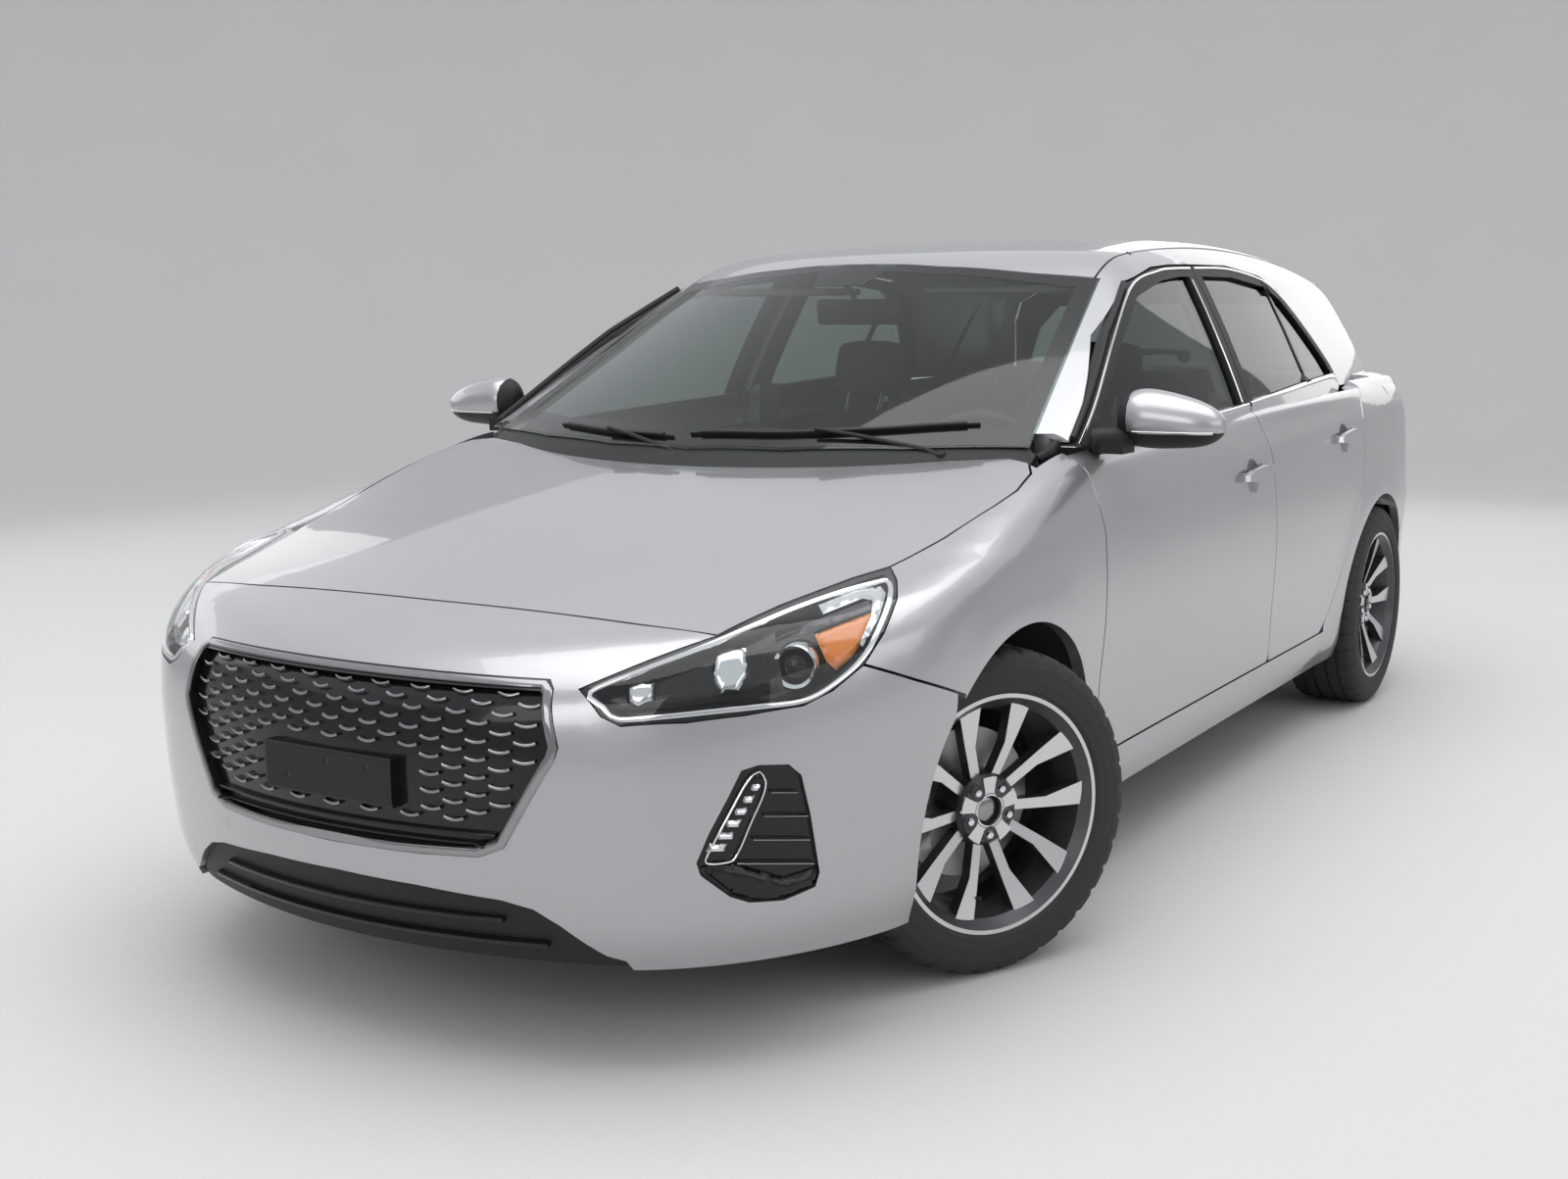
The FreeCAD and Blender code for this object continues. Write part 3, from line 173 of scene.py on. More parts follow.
# %% [markdown]
# Silver paint is fine aluminium flake under a clear lacquer. Close up the
# flakes sparkle, and from afar they average to a soft grey metal, so the
# flakes are a very fine noise in colour and roughness, and the lacquer is
# the coat of the same shader.

# %% Paint
def make_paint():
    g = Graph("silver_paint")
    flake = g.noise(1900.0, 2.0)
    broad = g.noise(2.4, 2.0)
    tone = g.mix(flake * 0.7 + broad * 0.15, (0.38, 0.385, 0.395), (0.53, 0.535, 0.545))
    return g.surface({"Base Color": tone, "Metallic": 0.82, "Roughness": flake * 0.1 + 0.27,
                      "Coat Weight": 1.0, "Coat Roughness": 0.03, "Coat IOR": 1.5})


def make_plain(name, low, high, rough, metallic=0.0, scale=60.0, bump=0.0, coat=0.0, grain=400.0,
               shine=0.5):
    """Opaque finish between two colours, with an optional grain and coat."""
    g = Graph(name)
    cloud = g.noise(scale, 4.0)
    values = {"Base Color": g.mix(cloud, low, high), "Metallic": metallic,
              "Roughness": cloud * (rough * 0.25) + rough * 0.87, "Specular IOR Level": shine}
    if coat:
        values["Coat Weight"] = coat
    if bump:
        values["Normal"] = g.node("ShaderNodeBump", {}, {"Height": g.noise(grain), "Strength": bump,
                                                         "Distance": 0.0006})
    return g.surface(values)


def make_glass(name, tint):
    """Thin pane: tinted see-through, with a mirror share that grows at low angles."""
    g = Graph(name)
    haze = g.noise(30.0) * 0.02 + 0.01
    through = g.node("ShaderNodeBsdfTransparent", {}, {"Color": tint})
    gloss = g.node("ShaderNodeBsdfGlossy", {}, {"Color": (1, 1, 1), "Roughness": haze})
    inner = g.node("ShaderNodeNewGeometry", out=6)
    share = g.node("ShaderNodeFresnel", {}, {"IOR": 1.45}) * (inner * -1.0 + 1.0)
    return g.finish(g.node("ShaderNodeMixShader", {}, {0: share, 1: through, 2: gloss}))


PAINT = make_paint()
GLOSS_BLACK = make_plain("gloss_black", (0.005, 0.005, 0.006), (0.009, 0.009, 0.01), 0.16,
                         coat=0.35, shine=0.25)
GRAIN_BLACK = make_plain("grained_black", (0.011, 0.011, 0.012), (0.019, 0.019, 0.02), 0.5,
                         bump=0.35, shine=0.3)
CHROME = make_plain("bright_chrome", (0.75, 0.76, 0.77), (0.82, 0.83, 0.84), 0.07, 1.0)
DARK_CHROME = make_plain("dark_chrome", (0.28, 0.285, 0.29), (0.34, 0.345, 0.35), 0.14, 1.0)
ALLOY_FACE = make_plain("machined_alloy", (0.62, 0.625, 0.63), (0.7, 0.705, 0.71), 0.24, 1.0,
                        scale=220.0)
ALLOY_POCKET = make_plain("dark_alloy", (0.07, 0.07, 0.075), (0.1, 0.1, 0.105), 0.35, 0.7)
RUBBER = make_plain("tyre_rubber", (0.016, 0.016, 0.016), (0.028, 0.028, 0.028), 0.72, bump=0.3)
STEEL = make_plain("bare_steel", (0.3, 0.29, 0.28), (0.42, 0.41, 0.4), 0.35, 1.0, bump=0.15)
UNDER = make_plain("underbody_black", (0.012, 0.012, 0.013), (0.022, 0.022, 0.023), 0.7, bump=0.4)
CLOTH = make_plain("seat_cloth", (0.045, 0.045, 0.048), (0.085, 0.085, 0.092), 0.9, bump=0.6,
                   grain=900.0)
CLOTH_PALE = make_plain("roof_cloth", (0.3, 0.3, 0.29), (0.38, 0.38, 0.37), 0.9, bump=0.3,
                        grain=900.0)
SOFT_TRIM = make_plain("soft_trim", (0.035, 0.035, 0.038), (0.06, 0.06, 0.064), 0.62, bump=0.3)
RED_LENS = make_plain("red_lens", (0.3, 0.004, 0.006), (0.42, 0.008, 0.01), 0.1, coat=1.0)
WINDOW = make_glass("window_glass", (0.52, 0.56, 0.55))
SCREEN_GLASS = make_glass("screen_glass", (0.74, 0.79, 0.77))
CLEAR = make_glass("clear_lens", (0.93, 0.94, 0.94))
AMBER = make_plain("amber_lens", (0.75, 0.19, 0.012), (0.86, 0.25, 0.02), 0.12, coat=1.0)
LED_PALE = make_plain("pale_reflector", (0.62, 0.63, 0.64), (0.8, 0.81, 0.82), 0.12, 0.6,
                      scale=900.0)
MIRROR_FACE = make_plain("mirror_face", (0.86, 0.87, 0.88), (0.88, 0.89, 0.9), 0.02, 1.0)
print("materials", len(bpy.data.materials))

# %% [markdown]
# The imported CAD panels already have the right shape, so they stay and only
# get finishes. Painted sheet metal is one group, and moulded plastic, glass
# and the metal of the running gear are the others.

# %% Finishes of the CAD nodes
def both(*stems):
    return [stem + side for stem in stems for side in ("_left", "_right")]


FINISHES = {
    PAINT: both("body_side", "fender", "door_front", "door_rear") + [
        "roof_panel", "front_bumper", "rear_bumper", "hood", "tailgate"],
    WINDOW: both("glass_front", "glass_rear") + ["tailgate_glass"],
    SCREEN_GLASS: ["windscreen"],
    CLEAR: ["headlamp_lenses"],
    UNDER: ["floor_pan", "front_subframe", "rear_axle", "engine_block"],
    STEEL: both("knuckle") + ["exhaust"],
    GLOSS_BLACK: ["grille", "fog_lamps", "headlamps"],
    GRAIN_BLACK: both("mirror") + ["lower_intake", "cowl_panel"],
    RED_LENS: ["tail_lamps", "tailgate_lamps"],
    SOFT_TRIM: ["dashboard", "steering_wheel"],
    CLOTH: ["front_seats", "rear_seat"],
    ALLOY_POCKET: both("wheel_front", "wheel_rear"),
    RUBBER: both("tyre_front", "tyre_rear"),
}
for material, names in FINISHES.items():
    for name in names:
        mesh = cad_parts[name].data
        mesh.materials.clear()
        mesh.materials.append(material)
print("finished", sum(len(names) for names in FINISHES.values()), "nodes")

# %% [markdown]
# New pieces sit on the CAD panels. A skin is a search tree over some panels'
# faces, and a ray meets it at a place with a normal. Rays come from the side,
# the front, the back or above, or from the camera through a point of the
# picture, so that a lamp or a trim lands where it is seen.

# %% Skins
def photo_way(u, v):
    """Direction from the camera through a point of the photograph, in its pixels."""
    across = (u / PHOTO_WIDTH - 0.5 + camera_data.shift_x) * SENSOR_WIDTH / LENS
    rise = ((PHOTO_HEIGHT / 2 - v) / PHOTO_WIDTH + camera_data.shift_y) * SENSOR_WIDTH / LENS
    return (forward + right * across + up * rise).normalized()


class Skin:
    """The faces of some CAD nodes, which rays can meet."""

    def __init__(self, *names):
        points = []
        faces = []
        for name in names:
            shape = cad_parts[name]
            first = len(points)
            points += [shape.matrix_world @ v.co for v in shape.data.vertices]
            faces += [[first + k for k in f.vertices] for f in shape.data.polygons]
        self.tree = BVHTree.FromPolygons(points, faces)

    def meet(self, start, way):
        way = Vector(way).normalized()
        place, normal, _, _ = self.tree.ray_cast(Vector(start), way)
        if place is None:
            return None
        return place, (-normal if normal.dot(way) > 0 else normal)

    def from_side(self, x, z):
        return self.meet((x, 2.0, z), (0, -1, 0))

    def from_front(self, y, z):
        return self.meet((3.0, y, z), (-1, 0, 0))

    def from_back(self, y, z):
        return self.meet((-3.0, y, z), (1, 0, 0))

    def from_above(self, x, y):
        return self.meet((x, y, 3.0), (0, 0, -1))

    def from_photo(self, u, v):
        return self.meet(CAMERA_PLACE, photo_way(u, v))


bpy.context.view_layer.update()
HOOD = Skin("hood")
print("bonnet meets a ray at", HOOD.from_above(1.5, 0.0)[0])

# %% [markdown]
# Most trims are one of five forms: a strip swept along a path on a skin, a
# plate cut to an outline on a skin, a part turned round an axis, a round bar,
# and a block with rounded edges. Each helper returns points and faces, so
# several can be joined into one piece.

# %% Forms
def smooth_path(spots, step, closed=False):
    """Points about step apart on a smooth curve through spots."""
    spots = [Vector(s) for s in spots]
    count = len(spots)
    path = []
    for i in range(count if closed else count - 1):
        a, b, c, d = [spots[(i + k) % count if closed else min(max(i + k, 0), count - 1)]
                      for k in (-1, 0, 1, 2)]
        parts = max(1, round((c - b).length / step))
        for j in range(parts):
            t = j / parts
            path.append(0.5 * (2 * b + (c - a) * t + (2 * a - 5 * b + 4 * c - d) * t * t
                               + (3 * b - a - 3 * c + d) * t ** 3))
    if not closed:
        path.append(spots[-1])
    return path


def straight_path(spots, step, closed=False):
    """Points about step apart on the straight sides between spots."""
    ends = spots[1:] + (spots[:1] if closed else [])
    path = []
    for a, b in zip(spots, ends):
        a, b = Vector(a), Vector(b)
        parts = max(1, round((b - a).length / step))
        path += [a.lerp(b, j / parts) for j in range(parts)]
    if not closed:
        path.append(Vector(spots[-1]))
    return path


def tube(rows, closed=False):
    """Skin a chain of equal rings, with flat ends unless the chain closes."""
    size = len(rows[0])
    points = [p for row in rows for p in row]
    faces = []
    for i in range(len(rows) if closed else len(rows) - 1):
        a = i * size
        b = (i + 1) % len(rows) * size
        faces += [[a + j, a + (j + 1) % size, b + (j + 1) % size, b + j] for j in range(size)]
    if not closed:
        faces.append(list(range(size))[::-1])
        faces.append(list(range(len(points) - size, len(points))))
    return points, faces


SOFT_EDGED = [(-0.5, -0.15), (-0.5, 0.5), (-0.38, 0.9), (-0.15, 1.0), (0.15, 1.0), (0.38, 0.9),
              (0.5, 0.5), (0.5, -0.15)]


def strip(path, find, width, thick, lift=0.0, section=SOFT_EDGED, closed=False):
    """A moulding that follows a path over a skin."""
    met = [hit for hit in (find(*spot) for spot in path) if hit]
    rows = []
    for i, (place, normal) in enumerate(met):
        after = met[(i + 1) % len(met)][0] if closed else met[min(i + 1, len(met) - 1)][0]
        before = met[i - 1][0] if closed or i else place
        along = (after - before).normalized()
        side = along.cross(normal).normalized()
        out = side.cross(along)
        rows.append([place + side * (s * width) + out * (lift + h * thick) for s, h in section])
    return tube(rows, closed)


def inside(spot, outline):
    """Whether a spot lies in an outline, by the sides that a level ray meets."""
    u, v = spot
    odd = False
    for (a, b), (c, d) in zip(outline, outline[1:] + outline[:1]):
        if (b > v) != (d > v) and u < a + (v - b) * (c - a) / (d - b):
            odd = not odd
    return odd


def edge_gap(spot, outline):
    """Distance from a spot to the nearest side of an outline."""
    p = Vector(spot)
    best = 1e9
    for a, b in zip(outline, outline[1:] + outline[:1]):
        a, b = Vector(a), Vector(b)
        t = (p - a).dot(b - a) / max((b - a).length_squared, 1e-12)
        best = min(best, (p - a.lerp(b, min(1.0, max(0.0, t)))).length)
    return best


SUNK = 0.0004


def plate(outline, find, thick, step, edge=0.0, lift=0.0, holes=()):
    """A sheet cut to an outline and laid on a skin, crowned over the edge width."""
    outline = [tuple(p) for p in outline]
    holes = [[tuple(p) for p in hole] for hole in holes]
    spots = []
    sides = []
    for loop in [outline] + holes:
        rim = straight_path(loop, step, True)
        first = len(spots)
        spots += rim
        sides += [(first + k, first + (k + 1) % len(rim)) for k in range(len(rim))]
    low = [min(p[k] for p in outline) for k in (0, 1)]
    high = [max(p[k] for p in outline) for k in (0, 1)]
    for u in np.arange(low[0] + step / 2, high[0], step):
        for v in np.arange(low[1] + step / 2, high[1], step):
            spot = (float(u), float(v))
            if inside(spot, outline) and not any(inside(spot, hole) for hole in holes):
                if min(edge_gap(spot, loop) for loop in [outline] + holes) > 0.4 * step:
                    spots.append(Vector(spot))
    flat, _, tris, _, _, _ = delaunay_2d_cdt(spots, sides, [], 0, 1e-7)
    top = []
    bottom = []
    for spot in flat:
        hit = find(*spot)
        if hit is None:
            top.append(None)
            bottom.append(None)
            continue
        place, normal = hit
        height = thick
        if edge:
            t = min(1.0, min(edge_gap(spot, loop) for loop in [outline] + holes) / edge)
            height = thick * (0.3 + 0.7 * math.sqrt(t * (2 - t)))
        top.append(place + normal * (lift + height))
        bottom.append(place + normal * (lift - SUNK))
    faces = []
    for tri in tris:
        middle = tuple(sum((flat[k] for k in tri), Vector((0, 0))) / 3)
        if not inside(middle, outline) or any(inside(middle, hole) for hole in holes):
            continue
        if all(top[k] is not None for k in tri):
            faces.append(list(tri))
    used = sorted({k for tri in faces for k in tri})
    slot_of = {k: i for i, k in enumerate(used)}
    points = [top[k] for k in used] + [bottom[k] for k in used]
    faces = [[slot_of[k] for k in tri] for tri in faces]
    count = len(used)
    edges = dict.fromkeys((a, b) for tri in faces for a, b in zip(tri, tri[1:] + tri[:1]))
    walls = [[b, a, a + count, b + count] for a, b in edges if (b, a) not in edges]
    back = [[k + count for k in tri[::-1]] for tri in faces]
    return points, faces + back + walls


def turned(profile, place=(0, 0, 0), axis=(0, 0, 1), count=48):
    """Turn a closed outline of radius and height round an axis."""
    turn = Vector(axis).to_track_quat("Z", "Y")
    rows = []
    for k in range(count):
        a = 2 * math.pi * k / count
        rows.append([Vector(place) + turn @ Vector((r * math.cos(a), r * math.sin(a), h))
                     for r, h in profile])
    return tube(rows, True)


def rod(spots, radius, count=10):
    """Round bar through points in space; radius may be a list, one for each point."""
    spots = [Vector(s) for s in spots]
    sizes = radius if isinstance(radius, list) else [radius] * len(spots)
    rows = []
    for i, (spot, size) in enumerate(zip(spots, sizes)):
        along = (spots[min(i + 1, len(spots) - 1)] - spots[max(i - 1, 0)]).normalized()
        turn = along.to_track_quat("Z", "Y")
        rows.append([spot + turn @ Vector((size * math.cos(2 * math.pi * k / count),
                                           size * math.sin(2 * math.pi * k / count), 0))
                     for k in range(count)])
    return tube(rows)


def block(low, high, soft, rows=2):
    """Box between two corners with rounded edges."""
    low, high = Vector(low), Vector(high)
    bm = bmesh.new()
    bmesh.ops.create_cube(bm, size=1.0)
    for v in bm.verts:
        v.co = Vector([(low[k] + high[k]) / 2 + v.co[k] * (high[k] - low[k]) for k in range(3)])
    bmesh.ops.bevel(bm, geom=bm.edges[:], offset=soft, segments=rows, profile=0.5, affect="EDGES")
    points = [v.co.copy() for v in bm.verts]
    faces = [[v.index for v in f.verts] for f in bm.faces]
    bm.free()
    return points, faces


def joined(forms):
    points = []
    faces = []
    for some_points, some_faces in forms:
        first = len(points)
        points += some_points
        faces += [[first + k for k in face] for face in some_faces]
    return points, faces


def moved(form, matrix):
    return [matrix @ Vector(p) for p in form[0]], form[1]


ACROSS = Matrix.Diagonal((1, -1, 1, 1))
print("forms ready")

# %% [markdown]
# One call turns a form into a piece: it makes the mesh, points all faces
# outwards, smooths it up to a sharp angle, gives it its finish, and lets it
# ride on its body, which is the car's own body unless another is named. Most
# pieces come as a left and a right one, so a second call makes both.


def make_mesh(name, points, faces):
    """Mesh with its faces turned outwards; empty and doubled faces are left out."""
    bm = bmesh.new()
    spots = [bm.verts.new(p) for p in points]
    for face in faces:
        if len(set(face)) > 2:
            try:
                bm.faces.new([spots[k] for k in face])
            except ValueError:
                pass
    bmesh.ops.recalc_face_normals(bm, faces=bm.faces[:])
    mesh = bpy.data.meshes.new(name)
    bm.to_mesh(mesh)
    bm.free()
    return mesh


def add_piece(name, form, material, body="body", sharp=40.0):
    """Make a piece that rides on a body; no point passes the CAD model's box."""
    points = [[min(max(v, low), high) for v, low, high in zip(p, *CAD_BOUNDS)] for p in form[0]]
    mesh = make_mesh(name, points, form[1])
    mesh.polygons.foreach_set("use_smooth", [True] * len(mesh.polygons))
    mesh.set_sharp_from_angle(angle=math.radians(sharp))
    mesh.materials.append(material)
    piece = add_object(name, mesh)
    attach(piece, body)
    return piece


def add_pair(name, form, material, bodies=("body",) * 2, sharp=40.0):
    add_piece(name + "_left", form, material, bodies[0], sharp)
    add_piece(name + "_right", moved(form, ACROSS), material, bodies[1], sharp)


FRONT_DOORS = ("front_left_door", "front_right_door")
REAR_DOORS = ("rear_left_door", "rear_right_door")

# %% [markdown]
# The grille is a gloss-black shell that carries rows of short bright bars.
# Each bar is bent like a shallow smile, and every second row is shifted by
# half a pitch, so the rows seem to fall like water. They are swept strips on
# the grille's own face, left out where the plate bracket stands.

# %% Grille
GRILLE = Skin("grille")
BAR_PITCH = 0.085
ROW_PITCH = 0.0148
GRILLE_EDGE = [(0.372, 0.303), (0.392, 0.35), (0.545, 0.44), (0.565, 0.446), (0.655, 0.42)]


def half_width(z):
    """Half the grille's width at a height."""
    for (z0, w0), (z1, w1) in zip(GRILLE_EDGE, GRILLE_EDGE[1:]):
        if z <= z1:
            return w0 + (w1 - w0) * (z - z0) / (z1 - z0)
    return GRILLE_EDGE[-1][1]


def bright_bars():
    bars = []
    for row in range(15):
        z = 0.637 - ROW_PITCH * row
        shift = BAR_PITCH / 2 * (row % 2)
        for k in range(-6, 7):
            y = BAR_PITCH * k + shift
            if abs(y) > half_width(z) - 0.04 or (abs(y) < 0.172 and 0.43 < z < 0.538):
                continue
            path = [(y + 0.0185 * s, z + 0.0042 * s * s)
                    for s in (-1.0, -0.6, -0.2, 0.2, 0.6, 1.0)]
            bars.append(strip(path, GRILLE.from_front, 0.0062, 0.0075))
    return bars


bars = bright_bars()
add_piece("grille_bright_bars", joined(bars), DARK_CHROME)
surround = [(0.303, 0.379), (0.345, 0.396), (0.4325, 0.546), (0.4375, 0.565), (0.413, 0.65),
            (0.4, 0.66), (0.2, 0.66)]
surround = surround + [(-y, z) for y, z in surround[::-1]] + [(-0.15, 0.374), (0.15, 0.374)]
rim_path = straight_path(surround, 0.02, True)
add_piece("grille_surround", strip(rim_path, GRILLE.from_front, 0.0155, 0.004, closed=True),
          DARK_CHROME)
slats = []
for z in (0.392, 0.409):
    reach = half_width(z) - 0.03
    level_path = [(reach * s / 12, z) for s in range(-12, 13)]
    slats.append(strip(level_path, GRILLE.from_front, 0.006, 0.01))
add_piece("grille_lower_slats", joined(slats), GLOSS_BLACK)
print("grille bars", len(bars))

# %% [markdown]
# The plate bracket is a plain moulded panel with three small square holes.
# No plate is on it.

# %% Plate bracket
squares = [[(y - 0.006, z - 0.006), (y + 0.006, z - 0.006), (y + 0.006, z + 0.006),
            (y - 0.006, z + 0.006)] for y, z in ((0.095, 0.505), (0.0, 0.505), (-0.095, 0.47))]
bracket = [(-0.146, 0.446), (0.146, 0.446), (0.149, 0.449), (0.149, 0.52), (0.146, 0.523),
           (-0.146, 0.523), (-0.149, 0.52), (-0.149, 0.449)]
add_piece("plate_bracket", plate(bracket, GRILLE.from_front, 0.005, 0.012, 0.004, holes=squares),
          GRAIN_BLACK)
print("bracket holes", len(squares))

# %% [markdown]
# Below a body-colour beam the air intake is an open black mouth with two thin
# blades, and a black lip closes the bumper at the bottom. A small square
# cover hides the towing eye.

# %% Lower intake
INTAKE = Skin("lower_intake")
BUMPER = Skin("front_bumper")
blades = []
for z, reach in ((0.222, 0.4), (0.262, 0.33)):
    path = [(reach * s / 16, z) for s in range(-16, 17)]
    blades.append(strip(path, INTAKE.from_front, 0.009, 0.012))
add_piece("intake_blades", joined(blades), GLOSS_BLACK)
cover = [(-0.352, 0.33), (-0.306, 0.33), (-0.306, 0.352), (-0.352, 0.352)]
add_piece("towing_eye_cover", plate(cover, BUMPER.from_front, 0.0008, 0.01, 0.003), PAINT)
print("intake blades", len(blades))

# %% [markdown]
# Each headlamp is a clear cover over a black bowl. A bright line runs round
# the inside of the cover, and in the bowl stand a projector with a chrome
# ring, two small reflectors, a pale wing-shaped light, a dark brow and an
# amber marker. They are placed through the picture on the cover's face and
# then set back into the bowl. Their outlines are in the photograph's pixels.

# %% Headlamps
LAMP_COVER = Skin("headlamp_lenses")


def behind_cover(depth):
    """Find places a given way behind the lamp's clear cover."""
    def find(u, v):
        hit = LAMP_COVER.from_photo(u, v)
        if hit is None:
            return None
        return hit[0] + photo_way(u, v) * depth, -photo_way(u, v).lerp(-hit[1], 0.4).normalized()
    return find


LAMP_LINE = [(603, 707), (660, 683), (721, 660), (770, 639), (816, 620), (862, 604), (896, 595),
             (905, 594), (909, 604), (902, 630), (883, 667), (856, 694), (822, 714), (775, 721),
             (728, 726), (680, 731), (631, 734), (616, 722)]
lamp_line = strip(smooth_path(LAMP_LINE, 6, True), behind_cover(0.006), 0.0105, 0.006, closed=True)
add_pair("headlamp_bright_line", lamp_line, CHROME)
LAMP_PLATES = [
    ("headlamp_wing", LED_PALE, 0.012, 0.006, 3,
     [(835, 618), (870, 603), (899, 598), (904, 606), (896, 632), (880, 660), (877, 657),
      (889, 628), (890, 613), (880, 611), (840, 627)]),
    ("amber_marker", AMBER, 0.022, 0.01, 4,
     [(831, 648), (890, 625), (891, 632), (883, 651), (868, 671), (853, 684), (843, 675)]),
    ("headlamp_brow", ALLOY_POCKET, 0.014, 0.006, 3,
     [(820, 638), (888, 612), (889, 622), (829, 645), (815, 648)])]
for name, finish, depth, thick, crown, outline in LAMP_PLATES:
    add_pair(name, plate(outline, behind_cover(depth), thick, 5, crown), finish)
cups = [[(638, 700), (655, 694), (668, 697), (667, 716), (652, 725), (640, 718)],
        [(728, 668), (745, 662), (761, 662), (764, 688), (755, 708), (735, 710), (726, 690)]]
cup_form = joined([plate(cup, behind_cover(0.03), 0.014, 4, 9) for cup in cups])
add_pair("headlamp_reflectors", cup_form, CHROME)
floor_shade = [(612, 708), (700, 676), (790, 645), (800, 705), (740, 718), (640, 727)]
add_pair("headlamp_inner_shade", plate(floor_shade, behind_cover(0.04), 0.004, 8, 4),
         GLOSS_BLACK)
eye = LAMP_COVER.from_photo(813, 679)[0] + photo_way(813, 679) * 0.046
AHEAD = Vector((0.95, 0.3, 0.03)).normalized()
ring = turned([(0.027, 0.004), (0.03, 0.016), (0.036, 0.02), (0.04, 0.012), (0.04, -0.03),
               (0.03, -0.03)], eye, AHEAD, 64)
add_pair("projector_ring", ring, CHROME)
dome = [(0.0005, 0.016), (0.01, 0.0145), (0.018, 0.01), (0.024, 0.003), (0.0265, -0.004),
        (0.0265, -0.01), (0.0005, -0.01)]
add_pair("projector_lens", turned(dome, eye, AHEAD, 48), GLOSS_BLACK)
print("projector at", tuple(round(c, 3) for c in eye))

# %% [markdown]
# The pocket low on each corner of the bumper holds a strip of daytime lights
# beside four thin fins, over a glossy blade.

# %% Daytime lights
FOG = Skin("fog_lamps")
strip_edge = [(774, 786), (780, 795), (778, 809), (765, 839), (752, 869), (743, 878), (720, 879),
              (725, 864), (742, 832), (758, 802), (768, 789)]
add_pair("daytime_light_bed", plate(strip_edge, FOG.from_photo, 0.006, 4, 3), GLOSS_BLACK)
add_pair("daytime_light_rim", strip(smooth_path(strip_edge, 5, True), FOG.from_photo, 0.0045,
                                    0.009, closed=True), CHROME)
cells = []
for k in range(6):
    t = (k + 0.5) / 6
    u, v = 773 - 42 * t - 4 * t * t, 796 + 74 * t
    w = 6.0 + 5.0 * t
    cell = [(u - w + 3, v - 4), (u + w + 1, v - 5), (u + w - 2, v + 4), (u - w, v + 5)]
    cells.append(plate(cell, FOG.from_photo, 0.011, 3, 3))
add_pair("daytime_light_cells", joined(cells), LED_PALE)
fins = []
for u0, u1, v in ((785, 812, 807), (778, 822, 831), (767, 824, 855), (751, 828, 879)):
    path = straight_path([(u0, v), (u1, v)], 5)
    fins.append(strip(path, FOG.from_photo, 0.0035, 0.011))
add_pair("pocket_fins", joined(fins), DARK_CHROME)
blade = [(714, 885), (731, 880), (750, 881), (800, 895), (834, 884), (832, 901), (800, 914),
         (779, 919), (748, 912)]
add_pair("pocket_blade", plate(blade, FOG.from_photo, 0.014, 6, 9), GLOSS_BLACK)
print("light cells", len(cells))

# %% [markdown]
# The window frames of the doors are black, and so is the strip between the
# two doors. The frames are part of the CAD doors, so their faces above the
# belt are given a second material, with no change to the mesh. The mirror
# housings are split the same way into a painted cap and a black underside.

# %% Second finishes
def face_middles(name):
    """A node's mesh, and the middle and normal of each of its faces in space."""
    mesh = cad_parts[name].data
    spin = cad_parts[name].matrix_world
    points = np.array([spin @ v.co for v in mesh.vertices])
    middles = np.array([points[list(f.vertices)].mean(axis=0) for f in mesh.polygons])
    normals = np.array([spin.to_3x3() @ f.normal for f in mesh.polygons])
    return mesh, middles, normals


def second_finish(name, material, chosen):
    """Give the faces that chosen picks another material."""
    mesh, middles, normals = face_middles(name)
    mesh.materials.append(material)
    picked = chosen(middles, normals)
    kinds = np.zeros(len(mesh.polygons), dtype=np.int32)
    kinds[picked] = 1
    mesh.polygons.foreach_set("material_index", kinds)
    return int(picked.sum())


painted = 0
for name in both("door_front", "door_rear"):
    painted += second_finish(name, GRAIN_BLACK,
                             lambda at, way: at[:, 2] > 1.01 - 0.0385 * at[:, 0])
for name in both("mirror"):
    painted += second_finish(name, PAINT, lambda at, way: (at[:, 2] > 1.004)
                             & (np.abs(at[:, 1]) > 0.875) & (at[:, 0] > 0.664))
print("faces with a second finish", painted)

# %% [markdown]
# A thin bright moulding runs over the windows and back along the belt. It is
# a strip on the door frames, cut at the gap between the doors, because each
# door takes its own length along when it opens.

# %% Window mouldings
FRONT_ARCH = [(0.832, 0.974), (0.698, 1.05), (0.466, 1.191), (0.212, 1.315), (-0.011, 1.354),
              (-0.15, 1.363), (-0.272, 1.366)]
REAR_ARCH = [(-0.304, 1.367), (-0.6, 1.369), (-0.882, 1.343), (-0.995, 1.303), (-1.077, 1.242),
             (-1.213, 1.113), (-1.25, 1.066), (-1.248, 1.036)]
FRONT_BELT = [(0.79, 0.969), (0.4, 0.983), (-0.196, 1.007), (-0.232, 1.009)]
REAR_BELT = [(-0.268, 1.012), (-0.8, 1.039), (-1.15, 1.051), (-1.236, 1.048)]
FRONT_DOOR_SKIN = Skin("door_front_left")
REAR_DOOR_SKIN = Skin("door_rear_left", "glass_rear_left")
for name, path, skin, doors, width, thick in (
        ("front_window_moulding", FRONT_ARCH, FRONT_DOOR_SKIN, FRONT_DOORS, 0.007, 0.0028),
        ("rear_window_moulding", REAR_ARCH, REAR_DOOR_SKIN, REAR_DOORS, 0.007, 0.0028),
        ("front_belt_moulding", FRONT_BELT, FRONT_DOOR_SKIN, FRONT_DOORS, 0.013, 0.0035),
        ("rear_belt_moulding", REAR_BELT, REAR_DOOR_SKIN, REAR_DOORS, 0.013, 0.0035)):
    add_pair(name, strip(smooth_path(path, 0.02), skin.from_side, width, thick), CHROME, doors)
